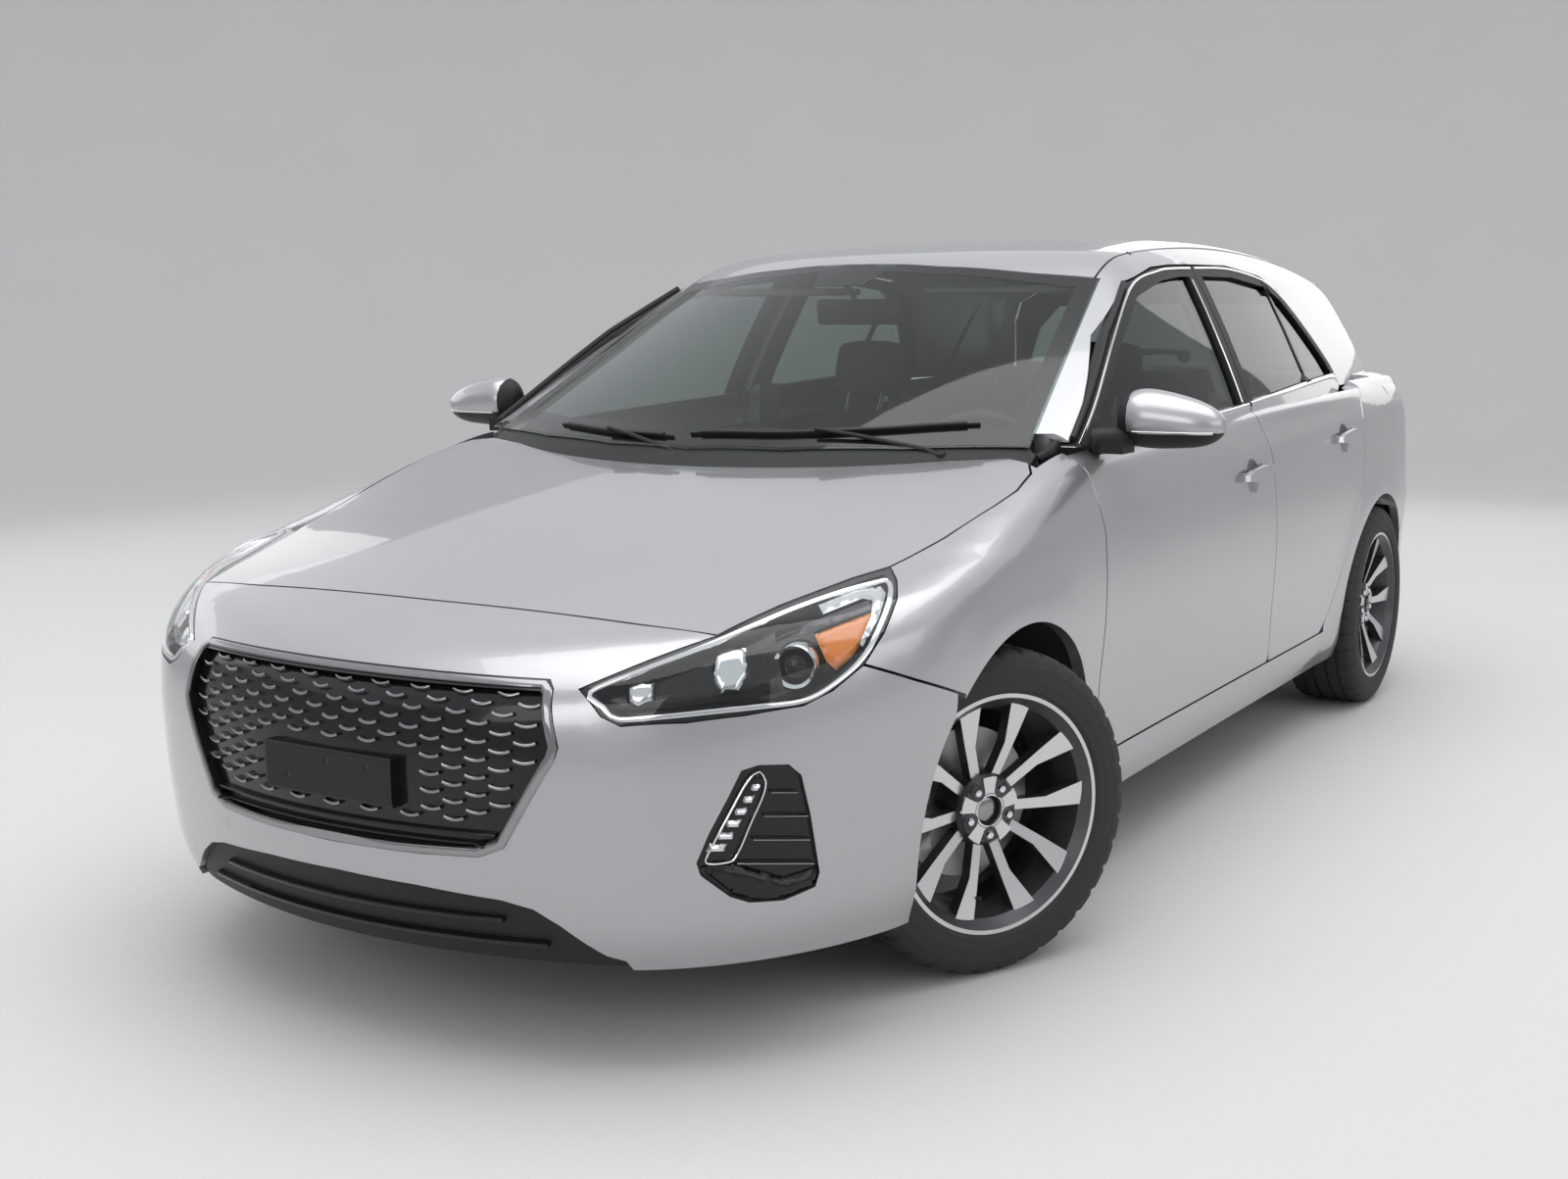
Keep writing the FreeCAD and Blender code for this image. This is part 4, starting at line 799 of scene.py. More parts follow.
edge = [(-0.24, 1.335), (-0.218, 1.18), (-0.205, 1.02)]
add_pair("front_window_rear_edge", strip(smooth_path(edge, 0.03), FRONT_DOOR_SKIN.from_side,
                                         0.005, 0.003), CHROME, FRONT_DOORS)
divider = straight_path([(1289, 291), (1311, 338), (1333, 389)], 6)
add_pair("rear_window_divider", strip(divider, REAR_DOOR_SKIN.from_photo, 0.03, 0.004),
         GLOSS_BLACK, REAR_DOORS)
print("mouldings done")

# %% [markdown]
# The roof is let in between the two body sides, and a black rubber moulding
# covers each joint. At the windscreen pillar a rubber lip fills the joint in
# front of the door.

# %% Roof and pillar rubbers
ROOF = Skin("roof_panel", "body_side_left")
ditch = [(0.262, 0.588), (0.1, 0.579), (-0.2, 0.568), (-0.7, 0.556), (-1.4, 0.54),
         (-1.765, 0.522)]
add_pair("roof_rubber", strip(smooth_path(ditch, 0.03), ROOF.from_above, 0.015, 0.0022),
         GRAIN_BLACK)
pillar = [(0.845, 0.98), (0.709, 1.061), (0.475, 1.205), (0.219, 1.329), (0.1, 1.352)]
pillar_path = []
for x, z in straight_path([Vector(p) for p in pillar], 0.02):
    hit = FRONT_DOOR_SKIN.from_side(x - 0.012, z - 0.006)
    if hit:
        pillar_path.append(Vector((x + 0.002, hit[0].y - 0.01, z + 0.002)))
add_pair("pillar_rubber", rod(pillar_path, 0.0075, 8), GRAIN_BLACK)
print("rubbers done")

# %% [markdown]
# The door mirrors stand on a black foot. Their glass is a slightly domed
# sheet on the flat back of the housing, with a black rim, and a bright lip
# runs along the front of the cap's lower edge.

# %% Door mirrors
MIRROR_SKIN = Skin("mirror_left")
glass_edge = [(0.962 + 0.09 * math.cos(a) * (1.0 if math.cos(a) < 0 else 0.98),
               1.026 + 0.044 * math.sin(a)) for a in np.linspace(0, 2 * math.pi, 28)[:-1]]
add_pair("mirror_glass", plate(glass_edge, MIRROR_SKIN.from_back, 0.0025, 0.012, 0.006),
         MIRROR_FACE, FRONT_DOORS)
add_pair("mirror_glass_rim", strip(smooth_path(glass_edge, 0.01, True), MIRROR_SKIN.from_back,
                                   0.007, 0.004, closed=True), GRAIN_BLACK, FRONT_DOORS)
lip = [(y, 1.004) for y in np.linspace(0.89, 1.058, 15)]
add_pair("mirror_lip", strip(lip, MIRROR_SKIN.from_front, 0.006, 0.003), ALLOY_FACE, FRONT_DOORS)
foot = rod([(0.742, 0.8, 0.98), (0.735, 0.835, 0.985), (0.712, 0.872, 0.99)],
           [0.03, 0.026, 0.022], 16)
sail = plate([(0.842, 0.968), (0.7, 1.046), (0.69, 0.968)], FRONT_DOOR_SKIN.from_side,
             0.006, 0.015, 0.01)
add_pair("mirror_foot", joined([foot, sail]), GRAIN_BLACK, FRONT_DOORS)
print("mirrors done")

# %% [markdown]
# A black ceramic border is baked on the edge of the windscreen. It hides the
# glue line and widens round the foot of the inside mirror. Here it is a very
# thin plate with a large hole.

# %% Windscreen border
SCREEN = Skin("windscreen")
GLASS_HALF = [(1.107, 0.0), (1.082, 0.23), (1.008, 0.48), (0.9, 0.716), (0.252, 0.597),
              (0.312, 0.449), (0.357, 0.22), (0.368, 0.0)]
HOLE_HALF = [(1.045, 0.0), (1.02, 0.23), (0.944, 0.47), (0.855, 0.655), (0.83, 0.664),
             (0.31, 0.566), (0.325, 0.545), (0.352, 0.44), (0.396, 0.215), (0.402, 0.095),
             (0.47, 0.07), (0.474, 0.0)]


def whole(half):
    """An outline in plan and its mirror image as one."""
    return half + [(x, -y) for x, y in half[::-1] if y > 0]


border = plate(whole(GLASS_HALF), SCREEN.from_above, 0.0004, 0.03, holes=[whole(HOLE_HALF)])
add_piece("windscreen_border", border, GLOSS_BLACK)
print("border faces", len(border[1]))

# %% [markdown]
# Between the windscreen and the bonnet lies the cowl, a black moulded tray
# over which the two wipers stand. It dips under the bonnet's rear edge, so it
# stays clear when the bonnet rises.

# %% Cowl and wipers
def screen_foot(y):
    """X of the windscreen's lower edge."""
    return 1.11 - 0.21 * (abs(y) / 0.722) ** 2.05


rows = []
for y in np.linspace(-0.735, 0.735, 60):
    hit = SCREEN.from_above(screen_foot(y) - 0.016, y)
    glass = hit[0] if hit else Vector((screen_foot(y), y, 0.966))
    deep = 0.03 * min(1.0, (0.76 - abs(y)) / 0.1)
    start = glass + Vector((0.0, 0.0, -0.006))
    rows.append([start + Vector((x, 0, z)) for x, z in (
        (0, 0), (0.018, -0.01), (0.034, -0.022), (0.075, -0.024 - deep),
        (0.075, -0.034 - deep), (0.02, -0.028), (-0.004, -0.01))])
add_piece("cowl_tray", tube(rows), GRAIN_BLACK, sharp=50)


def wiper(points, pivot, knee):
    """A blade along the glass with its arm; points are plan points on the glass."""
    path = smooth_path(points, 0.02)
    rubber = strip(path, SCREEN.from_above, 0.006, 0.007, lift=0.0006)
    beam = strip(path[2:-2], SCREEN.from_above, 0.009, 0.004, lift=0.007)
    hit = SCREEN.from_above(*knee)
    end = hit[0] + hit[1] * 0.016
    base = Vector(pivot)
    arm = rod([base + Vector((0, 0, -0.03)), base, base.lerp(end, 0.12) + Vector((0, 0, 0.01)),
               base.lerp(end, 0.7) + Vector((0, 0, 0.006)), end],
              [0.01, 0.01, 0.006, 0.005, 0.004])
    cap = turned([(0.0005, 0.014), (0.01, 0.012), (0.013, 0.004), (0.013, -0.02), (0.0005, -0.02)],
                 base, (0.3, 0, 1), 20)
    return joined([rubber, beam, arm, cap])


left_blade = [(screen_foot(y) - back, y)
              for y, back in ((0.6, 0.085), (0.4, 0.065), (0.2, 0.05), (-0.02, 0.042))]
right_blade = [(screen_foot(y) - back, y)
               for y, back in ((-0.06, 0.03), (-0.25, 0.034), (-0.45, 0.045))]
add_piece("wiper_left", wiper(left_blade, (0.985, 0.56, 0.955),
                              (screen_foot(0.28) - 0.052, 0.28)), GRAIN_BLACK)
add_piece("wiper_right", wiper(right_blade, (1.112, -0.02, 0.943),
                               (screen_foot(-0.26) - 0.034, -0.26)), GRAIN_BLACK)
print("wipers done")

# %% [markdown]
# The front wheels are turned to the right, as in the picture. Each wheel's
# parts are made once in the wheel's own frame, with the axle along Y and the
# outer face towards +Y, and then set at the hub. The CAD wheel's spoke faces
# and rim lip get a machined finish, and the brake disc behind them bare steel.

# %% Wheel places
TURNS = {"front_left": (1.265, 1, -27.0), "front_right": (1.265, -1, -30.0),
         "rear_left": (-1.385, 1, 0.0), "rear_right": (-1.385, -1, 0.0)}
HALF_TRACK = 0.7815
PIN_INSET = 0.045
HUB_HEIGHT = 0.317
HUB_RADIUS, LIP_RADIUS, DISC_RADIUS = 0.06, 0.225, 0.152
SPOKE_FRONT, LIP_FRONT, DISC_FRONT = 0.04, 0.1, -0.006


def wheel_matrix(name):
    """Place of a wheel's own frame, steered about its pin."""
    x, hand, turn = TURNS[name]
    pin_inset = PIN_INSET if name.startswith("front") else 0.0
    pin = Matrix.Translation((x, hand * (HALF_TRACK - pin_inset), HUB_HEIGHT))
    spin = Matrix.Rotation(math.radians(turn), 4, "Z")
    hub = Matrix.Translation((0, hand * pin_inset, 0))
    return pin @ spin @ hub @ Matrix.Diagonal((1, hand, 1, 1))


for name in TURNS:
    back = wheel_matrix(name).inverted()
    mesh, middles, normals = face_middles("wheel_" + name)
    local = np.array([back @ Vector(m) for m in middles])
    way = np.array([back.to_3x3() @ Vector(n) for n in normals])
    radius = np.hypot(local[:, 0], local[:, 2])
    out = local[:, 1]
    mesh.materials.append(ALLOY_FACE)
    mesh.materials.append(STEEL)
    kind = np.zeros(len(mesh.polygons), dtype=np.int32)
    kind[(way[:, 1] > 0.8) & (radius > HUB_RADIUS) & (out > SPOKE_FRONT)] = 1
    kind[(radius > LIP_RADIUS) & (out > LIP_FRONT)] = 1
    kind[(radius < DISC_RADIUS) & (radius > HUB_RADIUS) & (out < DISC_FRONT)] = 2
    mesh.polygons.foreach_set("material_index", kind)
print("machined faces", int((kind == 1).sum()))

# %% [markdown]
# A tyre is one turned skin. Its tread has four grooves round it, cuts across
# the shoulders and fine cuts in the ribs. All of that is the radius of each
# row and segment, so the mesh stays a plain grid. The side wall gets a rim
# guard and two fine rings, and bears no lettering.

# %% Tyres
SEGMENTS = 216
TREAD = 0.317


def tread_rows():
    """Rows across the tyre as Y, radius and kind."""
    wall = [(0.106, 0.2335), (0.1098, 0.2385), (0.1122, 0.241), (0.1118, 0.245),
            (0.1131, 0.253), (0.1133, 0.26), (0.1138, 0.2612), (0.1131, 0.2624),
            (0.112, 0.276), (0.1108, 0.285), (0.1112, 0.2858), (0.11, 0.287)]
    shoulder = [(0.1012, 0.3065), (0.093, 0.3125), (0.086, 0.3146), (0.074, 0.3162),
                (0.064, 0.3168)]
    half = ([(y, r, "wall") for y, r in wall] + [(0.106, 0.2985, "ridge")]
            + [(y, r, "shoulder") for y, r in shoulder])
    half += [(0.0625, 0.31, "groove"), (0.0545, 0.31, "groove"), (0.053, TREAD, "rib"),
             (0.04, TREAD, "rib"), (0.027, TREAD, "rib"), (0.0255, 0.3095, "groove"),
             (0.0175, 0.3095, "groove"), (0.016, TREAD, "rib"), (0.008, TREAD, "rib")]
    return half + [(0.0, TREAD, "rib")] + [(-y, r, kind) for y, r, kind in half[::-1]]


def tyre_form():
    rows = tread_rows()
    inner = [(-0.098, 0.2335), (-0.088, 0.246), (-0.07, 0.296), (0.07, 0.296),
             (0.088, 0.246), (0.098, 0.2335)]
    grid = []
    for k in range(SEGMENTS):
        a = 2 * math.pi * k / SEGMENTS
        ring = []
        for y, r, kind in rows:
            if kind in ("shoulder", "ridge") and k % 6 == (0 if y > 0 else 3):
                r -= 0.006 if kind == "shoulder" else 0.0025
            if kind == "rib" and 0.018 < abs(y) and (k + (2 if y > 0 else 5)) % 6 == 0:
                r -= 0.004
            ring.append(Vector((r * math.sin(a), y, r * math.cos(a))))
        ring += [Vector((r * math.sin(a), y, r * math.cos(a))) for y, r in inner]
        grid.append(ring)
    return tube(grid, True)


tyre = tyre_form()
for name in TURNS:
    piece = add_piece("tyre_" + name + "_skin", moved(tyre, wheel_matrix(name)), RUBBER,
                      name + "_wheel", 25)
    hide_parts("tyre_" + name)
print("tyre faces", len(tyre[1]))

# %% [markdown]
# Each wheel is held by five nuts, sunk in pockets round a plain centre cap. A
# thin machined face fills the hub between them. A small valve stands between
# two spokes, and balance weights aren't shown.

# %% Nuts, hub faces and valves
NUT_CIRCLE = 0.048
NUT_POCKET = 0.0175
HUB_FACE = 0.0665
NUT_SPOTS = [(NUT_CIRCLE * math.sin(2 * math.pi * (k + 0.5) / 5),
              NUT_CIRCLE * math.cos(2 * math.pi * (k + 0.5) / 5)) for k in range(5)]


def nut(x, z):
    hexagon = [(0.0095 * math.cos(math.pi * k / 3), 0.0095 * math.sin(math.pi * k / 3))
               for k in range(6)]
    return tube([[Vector((x + u * s, y, z + v * s)) for u, v in hexagon]
                 for y, s in ((0.052, 1.0), (0.0735, 1.0), (0.077, 0.75), (0.078, 0.35))])


def nut_seat(x, z):
    return turned([(0.0105, 0.07), (0.0135, 0.0735), (0.015, 0.0725), (0.015, 0.066),
                   (0.0105, 0.066)], (x, 0, z), (0, 1, 0), 24)


def hub_edge(angle):
    """Outer radius of the machined hub face, let in round each nut."""
    off = abs(math.radians((math.degrees(angle) % 72.0) - 36.0))
    if off < math.asin(NUT_POCKET / NUT_CIRCLE) - 0.001:
        return (NUT_CIRCLE * math.cos(off)
                - math.sqrt(NUT_POCKET ** 2 - (NUT_CIRCLE * math.sin(off)) ** 2))
    return HUB_FACE


nuts = joined([nut(x, z) for x, z in NUT_SPOTS])
seat_rings = joined([nut_seat(x, z) for x, z in NUT_SPOTS])
cap = turned([(0.0004, 0.0655), (0.012, 0.065), (0.022, 0.0628), (0.0275, 0.06), (0.029, 0.057),
              (0.0004, 0.056)], (0, 0, 0), (0, 1, 0), 40)
face_rows = []
for k in range(180):
    a = 2 * math.pi * k / 180
    edge = hub_edge(a)
    face_rows.append([Vector((r * math.sin(a), y, r * math.cos(a)))
                      for r, y in ((0.0292, 0.068), (0.0292, 0.0738), (edge, 0.0738),
                                   (edge, 0.068))])
hub_face = tube(face_rows, True)
valve = rod([(0.03, 0.06, -0.168), (0.031, 0.078, -0.166), (0.0315, 0.086, -0.165)],
            [0.0042, 0.0036, 0.003], 10)
WHEEL_TRIMS = [("wheel_nuts_", nuts, CHROME, 30), ("nut_seats_", seat_rings, ALLOY_POCKET, 40),
               ("centre_cap_", cap, DARK_CHROME, 40), ("hub_face_", hub_face, ALLOY_FACE, 40),
               ("valve_", valve, RUBBER, 40)]
for name in TURNS:
    for stem, form, finish, sharp in WHEEL_TRIMS:
        add_piece(stem + name, moved(form, wheel_matrix(name)), finish, name + "_wheel", sharp)
print("wheel pieces", len(WHEEL_TRIMS) * len(TURNS))

# %% [markdown]
# The back of the car isn't seen in the picture, so it gets what such cars
# have: two-part tail lamps with pale bars and a pale reversing window, a bare
# recess for the plate with a grip above it and two small lights, and a black
# lower valance with two reflectors.

# %% Tail
TAIL_LAMPS = Skin("tail_lamps")
GATE_LAMPS = Skin("tailgate_lamps")
GATE = Skin("tailgate")
TAIL_BUMPER = Skin("rear_bumper")
GATE_GLASS = Skin("tailgate_glass")


def from_corner(skin):
    """Rays that come from behind and from the left, for the lamps' curved face."""
    way = Vector((0.74, -0.67, 0.0)).normalized()
    aside = Vector((0, 0, 1)).cross(way).normalized()
    base = Vector((-1.98, 0.72, 0.0)) - way * 2.0

    def find(s, z):
        return skin.meet(base - aside * s + Vector((0, 0, z)), way)
    return find


corner_find = from_corner(TAIL_LAMPS)
spread = [s for s in np.linspace(-0.45, 0.45, 181) if corner_find(float(s), 0.87)]
print("lamp spans", round(float(min(spread)), 3), round(float(max(spread)), 3))
lamp_low, lamp_high = float(min(spread)) + 0.012, float(max(spread)) - 0.012
for tag, z in (("upper", 0.905), ("lower", 0.835)):
    path = [(float(s), z) for s in np.linspace(lamp_low + 0.03, lamp_high, 16)]
    add_pair("tail_lamp_bar_" + tag, strip(path, corner_find, 0.01, 0.002), LED_PALE)
gate_find = from_corner(GATE_LAMPS)
wide = [float(s) for s in np.linspace(-0.6, 0.6, 241) if gate_find(float(s), 0.87)]
left_end, right_end = min(wide) + 0.015, max(wide) - 0.015
window = [(left_end, 0.845), (right_end, 0.845), (right_end, 0.885), (left_end, 0.885)]
add_pair("reversing_window", plate(window, gate_find, 0.0015, 0.015, 0.006), LED_PALE,
         ("tailgate_lid",) * 2)
recess = [(-0.275, 0.782), (0.275, 0.782), (0.29, 0.8), (0.262, 0.905), (0.25, 0.915),
          (-0.25, 0.915), (-0.262, 0.905), (-0.29, 0.8)]
add_piece("plate_recess_rim", strip(straight_path(recess, 0.02, True), GATE.from_back, 0.014,
                                    0.008, closed=True), PAINT, "tailgate_lid")
add_piece("plate_recess", plate(recess, GATE.from_back, 0.0015, 0.03, 0.004), GRAIN_BLACK,
          "tailgate_lid")
grip = [(y, 0.93) for y in np.linspace(-0.29, 0.29, 30)]
add_piece("tailgate_grip", strip(grip, GATE.from_back, 0.022, 0.014), CHROME, "tailgate_lid")
lights = joined([strip([(y, 0.905), (y + 0.05, 0.905)], GATE.from_back, 0.012, 0.01)
                 for y in (-0.17, 0.12)])
add_piece("plate_lights", lights, LED_PALE, "tailgate_lid")
valance = [(-0.5, 0.225), (0.5, 0.225), (0.545, 0.25), (0.5, 0.345), (0.455, 0.365),
           (-0.455, 0.365), (-0.5, 0.345), (-0.545, 0.25)]
add_piece("rear_valance", plate(valance, TAIL_BUMPER.from_back, 0.006, 0.03, 0.02), GRAIN_BLACK)
marker = [(y, 0.42) for y in np.linspace(0.5, 0.66, 10)]
add_pair("rear_reflector", strip(marker, TAIL_BUMPER.from_back, 0.026, 0.004), RED_LENS)
seam = [(y, 0.56) for y in np.linspace(-0.62, 0.62, 40)]
add_piece("rear_bumper_crease", strip(seam, TAIL_BUMPER.from_back, 0.01, 0.003), PAINT)
print("tail pieces placed")

# %% [markdown]
# The rear wiper turns on a boss low on the glass. The tailpipe gets a turned
# bright tip, and a high brake lamp lies under the roof's rear edge.

# %% Rear wiper and tailpipe
HIGH_LAMP = 1.351
boss_at, boss_way = GATE_GLASS.from_back(0.0, 1.085)
boss = turned([(0.0005, 0.03), (0.016, 0.027), (0.021, 0.016), (0.024, 0.002), (0.024, -0.006),
               (0.0005, -0.006)], boss_at, boss_way, 32)
path = [(y, 1.085 + 0.1 * (0.36 - abs(y)) * 0.5) for y in np.linspace(-0.03, -0.34, 14)]
rubber = strip(path, GATE_GLASS.from_back, 0.008, 0.016, lift=0.0008)
far, far_way = GATE_GLASS.from_back(-0.2, 1.094)
arm = rod([boss_at + boss_way * 0.018, boss_at.lerp(far, 0.5) + far_way * 0.03,
           far + far_way * 0.022], [0.01, 0.008, 0.006])
add_piece("rear_wiper", joined([boss, rubber, arm]), GRAIN_BLACK, "tailgate_lid")
tip_at = Vector((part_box("exhaust")[0][0] + 0.012, 0.5195, 0.1775))
tip = turned([(0.0262, -0.004), (0.028, 0.0), (0.029, -0.01), (0.0285, -0.075),
              (0.025, -0.08), (0.0245, -0.07), (0.0246, -0.01)], tip_at, (-1, 0.13, 0.03), 40)
add_piece("tailpipe_tip", tip, CHROME)
path = [(float(y), HIGH_LAMP) for y in np.linspace(-0.16, 0.16, 16)
        if GATE.from_back(float(y), HIGH_LAMP)]
add_piece("high_brake_lamp", strip(path, GATE.from_back, 0.012, 0.003), RED_LENS, "tailgate_lid")
print("wiper and tip done, lamp points", len(path))

# %% [markdown]
# The seats are soft goods. Each cushion starts as a rounded block a little
# smaller than the real pad, is remeshed evenly, and is blown up by a short
# cloth simulation, which pulls its sides in between the corners. The seams
# and sewn channels are pressed in after that.

# %% Pads
def pad_form(length, width, thick, crown=0.2, bolster=0.0, rows=22):
    """Closed crowned pad lying flat: length along X, width along Y."""
    points = []
    faces = []
    for side in (1, -1):
        for i in range(rows + 1):
            for j in range(rows + 1):
                u = 2 * i / rows - 1
                v = 2 * j / rows - 1
                at_end = abs(u) > 0.999
                x = u * (math.sqrt(1 - 0.3 * v * v) if at_end else 1 - 0.1 * v * v * abs(u))
                y = v * (1 - 0.08 * u * u * abs(v))
                fall = max(0.0, 1 - abs(u) ** 5) ** 0.5 * max(0.0, 1 - abs(v) ** 5) ** 0.5
                rise = thick / 2 * fall * (1 - crown + crown * (1 - u * u) * (1 - v * v))
                if side > 0:
                    rise += bolster * math.exp(-((abs(v) - 0.8) / 0.14) ** 2) * fall
                points.append(Vector((x * length / 2, y * width / 2, side * max(rise, 0.002))))
    size = (rows + 1) ** 2
    for i in range(rows):
        for j in range(rows):
            a = i * (rows + 1) + j
            quad = [a, a + 1, a + rows + 2, a + rows + 1]
            faces.append(quad)
            faces.append([size + k for k in quad[::-1]])
    rim = (list(range(rows)) + [i * (rows + 1) + rows for i in range(rows)]
           + [rows * (rows + 1) + j for j in range(rows, 0, -1)]
           + [i * (rows + 1) for i in range(rows, 0, -1)])
    for a, b in zip(rim, rim[1:] + rim[:1]):
        faces.append([b, a, a + size, b + size])
    return points, faces


VOXEL = 0.009
PRESSURE = 4.0
CLOTH_FRAMES = 20
CHANNEL_DEPTH, CHANNEL_WIDTH = 0.006, 0.009


def shown_mesh(pad):
    """A new mesh of the pad as its modifiers leave it."""
    return bpy.data.meshes.new_from_object(pad.evaluated_get(bpy.context.evaluated_depsgraph_get()))


def puffed(name, form, cap=0.012):
    """Blow a pad up with cloth, with a limit on how far a point may move."""
    pad = add_object(name, make_mesh(name, *form))
    remesh = pad.modifiers.new("even", "REMESH")
    remesh.mode = "VOXEL"
    remesh.voxel_size = VOXEL
    even = shown_mesh(pad)
    pad.modifiers.clear()
    pad.data = even
    start = np.array([v.co for v in even.vertices])
    cloth = pad.modifiers.new("air", "CLOTH")
    cloth.settings.use_pressure = True
    cloth.settings.uniform_pressure_force = PRESSURE
    cloth.settings.effector_weights.gravity = 0.0
    cloth.settings.quality = 4
    cloth.point_cache.frame_end = CLOTH_FRAMES
    scene = bpy.context.scene
    for k in range(1, CLOTH_FRAMES + 1):
        scene.frame_set(k)
    end = np.array([v.co for v in shown_mesh(pad).vertices])
    pad.modifiers.clear()
    scene.frame_set(1)
    shift = end - start
    far = np.linalg.norm(shift, axis=1, keepdims=True)
    shift *= np.minimum(1.0, cap / np.maximum(far, 1e-9))
    start = start + shift
    points = [Vector(p) for p in start]
    faces = [list(f.vertices) for f in even.polygons]
    bpy.data.objects.remove(pad)
    return points, faces


def channelled(form, aside, along=()):
    """Press sewn channels in, at distances aside of the middle and at places along X."""
    points = []
    for p in form[0]:
        gaps = [abs(p.y) - a for a in aside] + [p.x - a for a in along]
        drop = min(1.0, sum(math.exp(-(gap / CHANNEL_WIDTH) ** 2) for gap in gaps))
        low = 1 if p.z > 0 else 0.2
        points.append(Vector((p.x, p.y, p.z - drop * CHANNEL_DEPTH * low)))
    return points, form[1]


def leaning(place, degrees):
    """Place of something that leans back from upright or flat about Y."""
    return Matrix.Translation(place) @ Matrix.Rotation(math.radians(degrees), 4, "Y")


def add_pad(name, form, place, replaced):
    piece = add_piece(name, moved(form, place), CLOTH, sharp=180)
    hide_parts(replaced)


seat_cushion = channelled(puffed("front_cushion", pad_form(0.46, 0.47, 0.125, 0.15, 0.022)),
                          [0.15], [0.02, -0.1])
seat_back = channelled(puffed("front_back", pad_form(0.56, 0.46, 0.115, 0.15, 0.024)),
                       [0.145], [0.06, -0.12, 0.2])
head_pad = puffed("head_pad", pad_form(0.17, 0.24, 0.075, 0.2), cap=0.008)
bench_pad = channelled(puffed("rear_cushion", pad_form(0.52, 1.18, 0.1, 0.15)), [0.2, 0.46],
                       [0.05])
bench_back = channelled(puffed("rear_back", pad_form(0.5, 1.18, 0.105, 0.15)), [0.2, 0.46])
print("pads", len(seat_cushion[0]), len(bench_pad[0]))

# %% [markdown]
# The pads are set on the CAD seats' places: the cushion flat, the back and
# head pad leaning. A plain shell carries each seat, and chrome posts carry
# the head pad.

# %% Seats
for name, y in (("left", 0.37), ("right", -0.37)):
    add_pad("front_cushion_" + name, seat_cushion, Matrix.Translation((0.085, y, 0.405)),
            "front_seats")
    add_pad("front_back_" + name, seat_back, leaning((-0.225, y, 0.715), 78), "front_seats")
    add_pad("head_pad_" + name, head_pad, leaning((-0.32, y, 1.09), 78), "front_seats")
    shell = joined([block((-0.13, y - 0.215, 0.225), (0.29, y + 0.215, 0.345), 0.03, 3),
                    block((-0.19, y - 0.235, 0.3), (0.0, y - 0.205, 0.42), 0.012),
                    block((-0.19, y + 0.205, 0.3), (0.0, y + 0.235, 0.42), 0.012)])
    add_piece("seat_frame_" + name, shell, SOFT_TRIM)
    posts = joined([rod([(-0.268, y + s, 0.96), (-0.308, y + s, 1.06)], 0.006)
                    for s in (-0.055, 0.055)])
    add_piece("head_posts_" + name, posts, CHROME)
add_pad("rear_cushion", bench_pad, Matrix.Translation((-0.915, 0, 0.482)), "rear_seat")
add_pad("rear_back", bench_back, leaning((-1.245, 0, 0.72), 76), "rear_seat")
for k, y in enumerate((-0.36, 0.0, 0.36)):
    add_pad("rear_head_pad_%d" % (k + 1), moved(head_pad, Matrix.Diagonal((0.7, 0.9, 0.8, 1))),
            leaning((-1.322, y, 1.01), 76), "rear_seat")
add_piece("rear_seat_plinth", block((-1.18, -0.6, 0.422), (-0.66, 0.6, 0.45), 0.01),
          SOFT_TRIM)
print("seats placed")

# %% [markdown]
# The dashboard gets a hood over the instruments, a blank screen, air vents, a
# soft top pad and a console with a shift lever. The hood and the top pad are
# one cross-section carried across the car.

# %% Dashboard
low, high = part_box("dashboard")
top = high[2]
rear_x = low[0]


def carried(spots, section):
    """A form whose cross-section at each Y is corners of X and Z from the dash's top edge."""
    return tube([[Vector((rear_x + x, y, top + z)) for x, z in section(y)] for y in spots])


def hood_section(y):
    h = 0.062 * (1 - ((y - 0.37) / 0.15) ** 4)
    return [(0.005, -0.008), (-0.02, h * 0.8), (0.01, h), (0.13, 0.55 * h), (0.2, -0.004),
            (0.2, -0.02)]


def pad_section(y):
    return [(-0.01, -0.03), (-0.016, -0.012), (-0.002, 0.006), (0.12, 0.012), (0.27, 0.01),
            (0.296, 0.002), (0.296, -0.004), (0.01, -0.03)]


add_piece("instrument_hood", carried(np.linspace(0.22, 0.52, 16), hood_section), SOFT_TRIM,
          sharp=50)
dial = [(0.05, 0.0), (0.05, 0.006), (0.046, 0.006), (0.046, 0.002), (0.0005, 0.002),
        (0.0005, 0.0)]
dials = joined([turned(dial, (rear_x - 0.001, y, top + 0.012), (-1, 0, 0.25), 40)
                for y in (0.31, 0.43)])
add_piece("instrument_dials", dials, GLOSS_BLACK)
add_piece("dash_screen", block((rear_x - 0.012, -0.105, top - 0.115),
                               (rear_x + 0.01, 0.105, top + 0.01), 0.005), GLOSS_BLACK)
vents = []
for y in (0.6, 0.165, -0.165, -0.6):
    for k in range(4):
        z = top - 0.05 - 0.014 * k
        vents.append(block((rear_x - 0.008, y - 0.045, z), (rear_x + 0.004, y + 0.045, z + 0.006),
                           0.002, 1))
add_piece("air_vents", joined(vents), DARK_CHROME)
add_piece("dash_top_pad", carried(np.linspace(-0.675, 0.675, 40), pad_section), SOFT_TRIM,
          sharp=50)
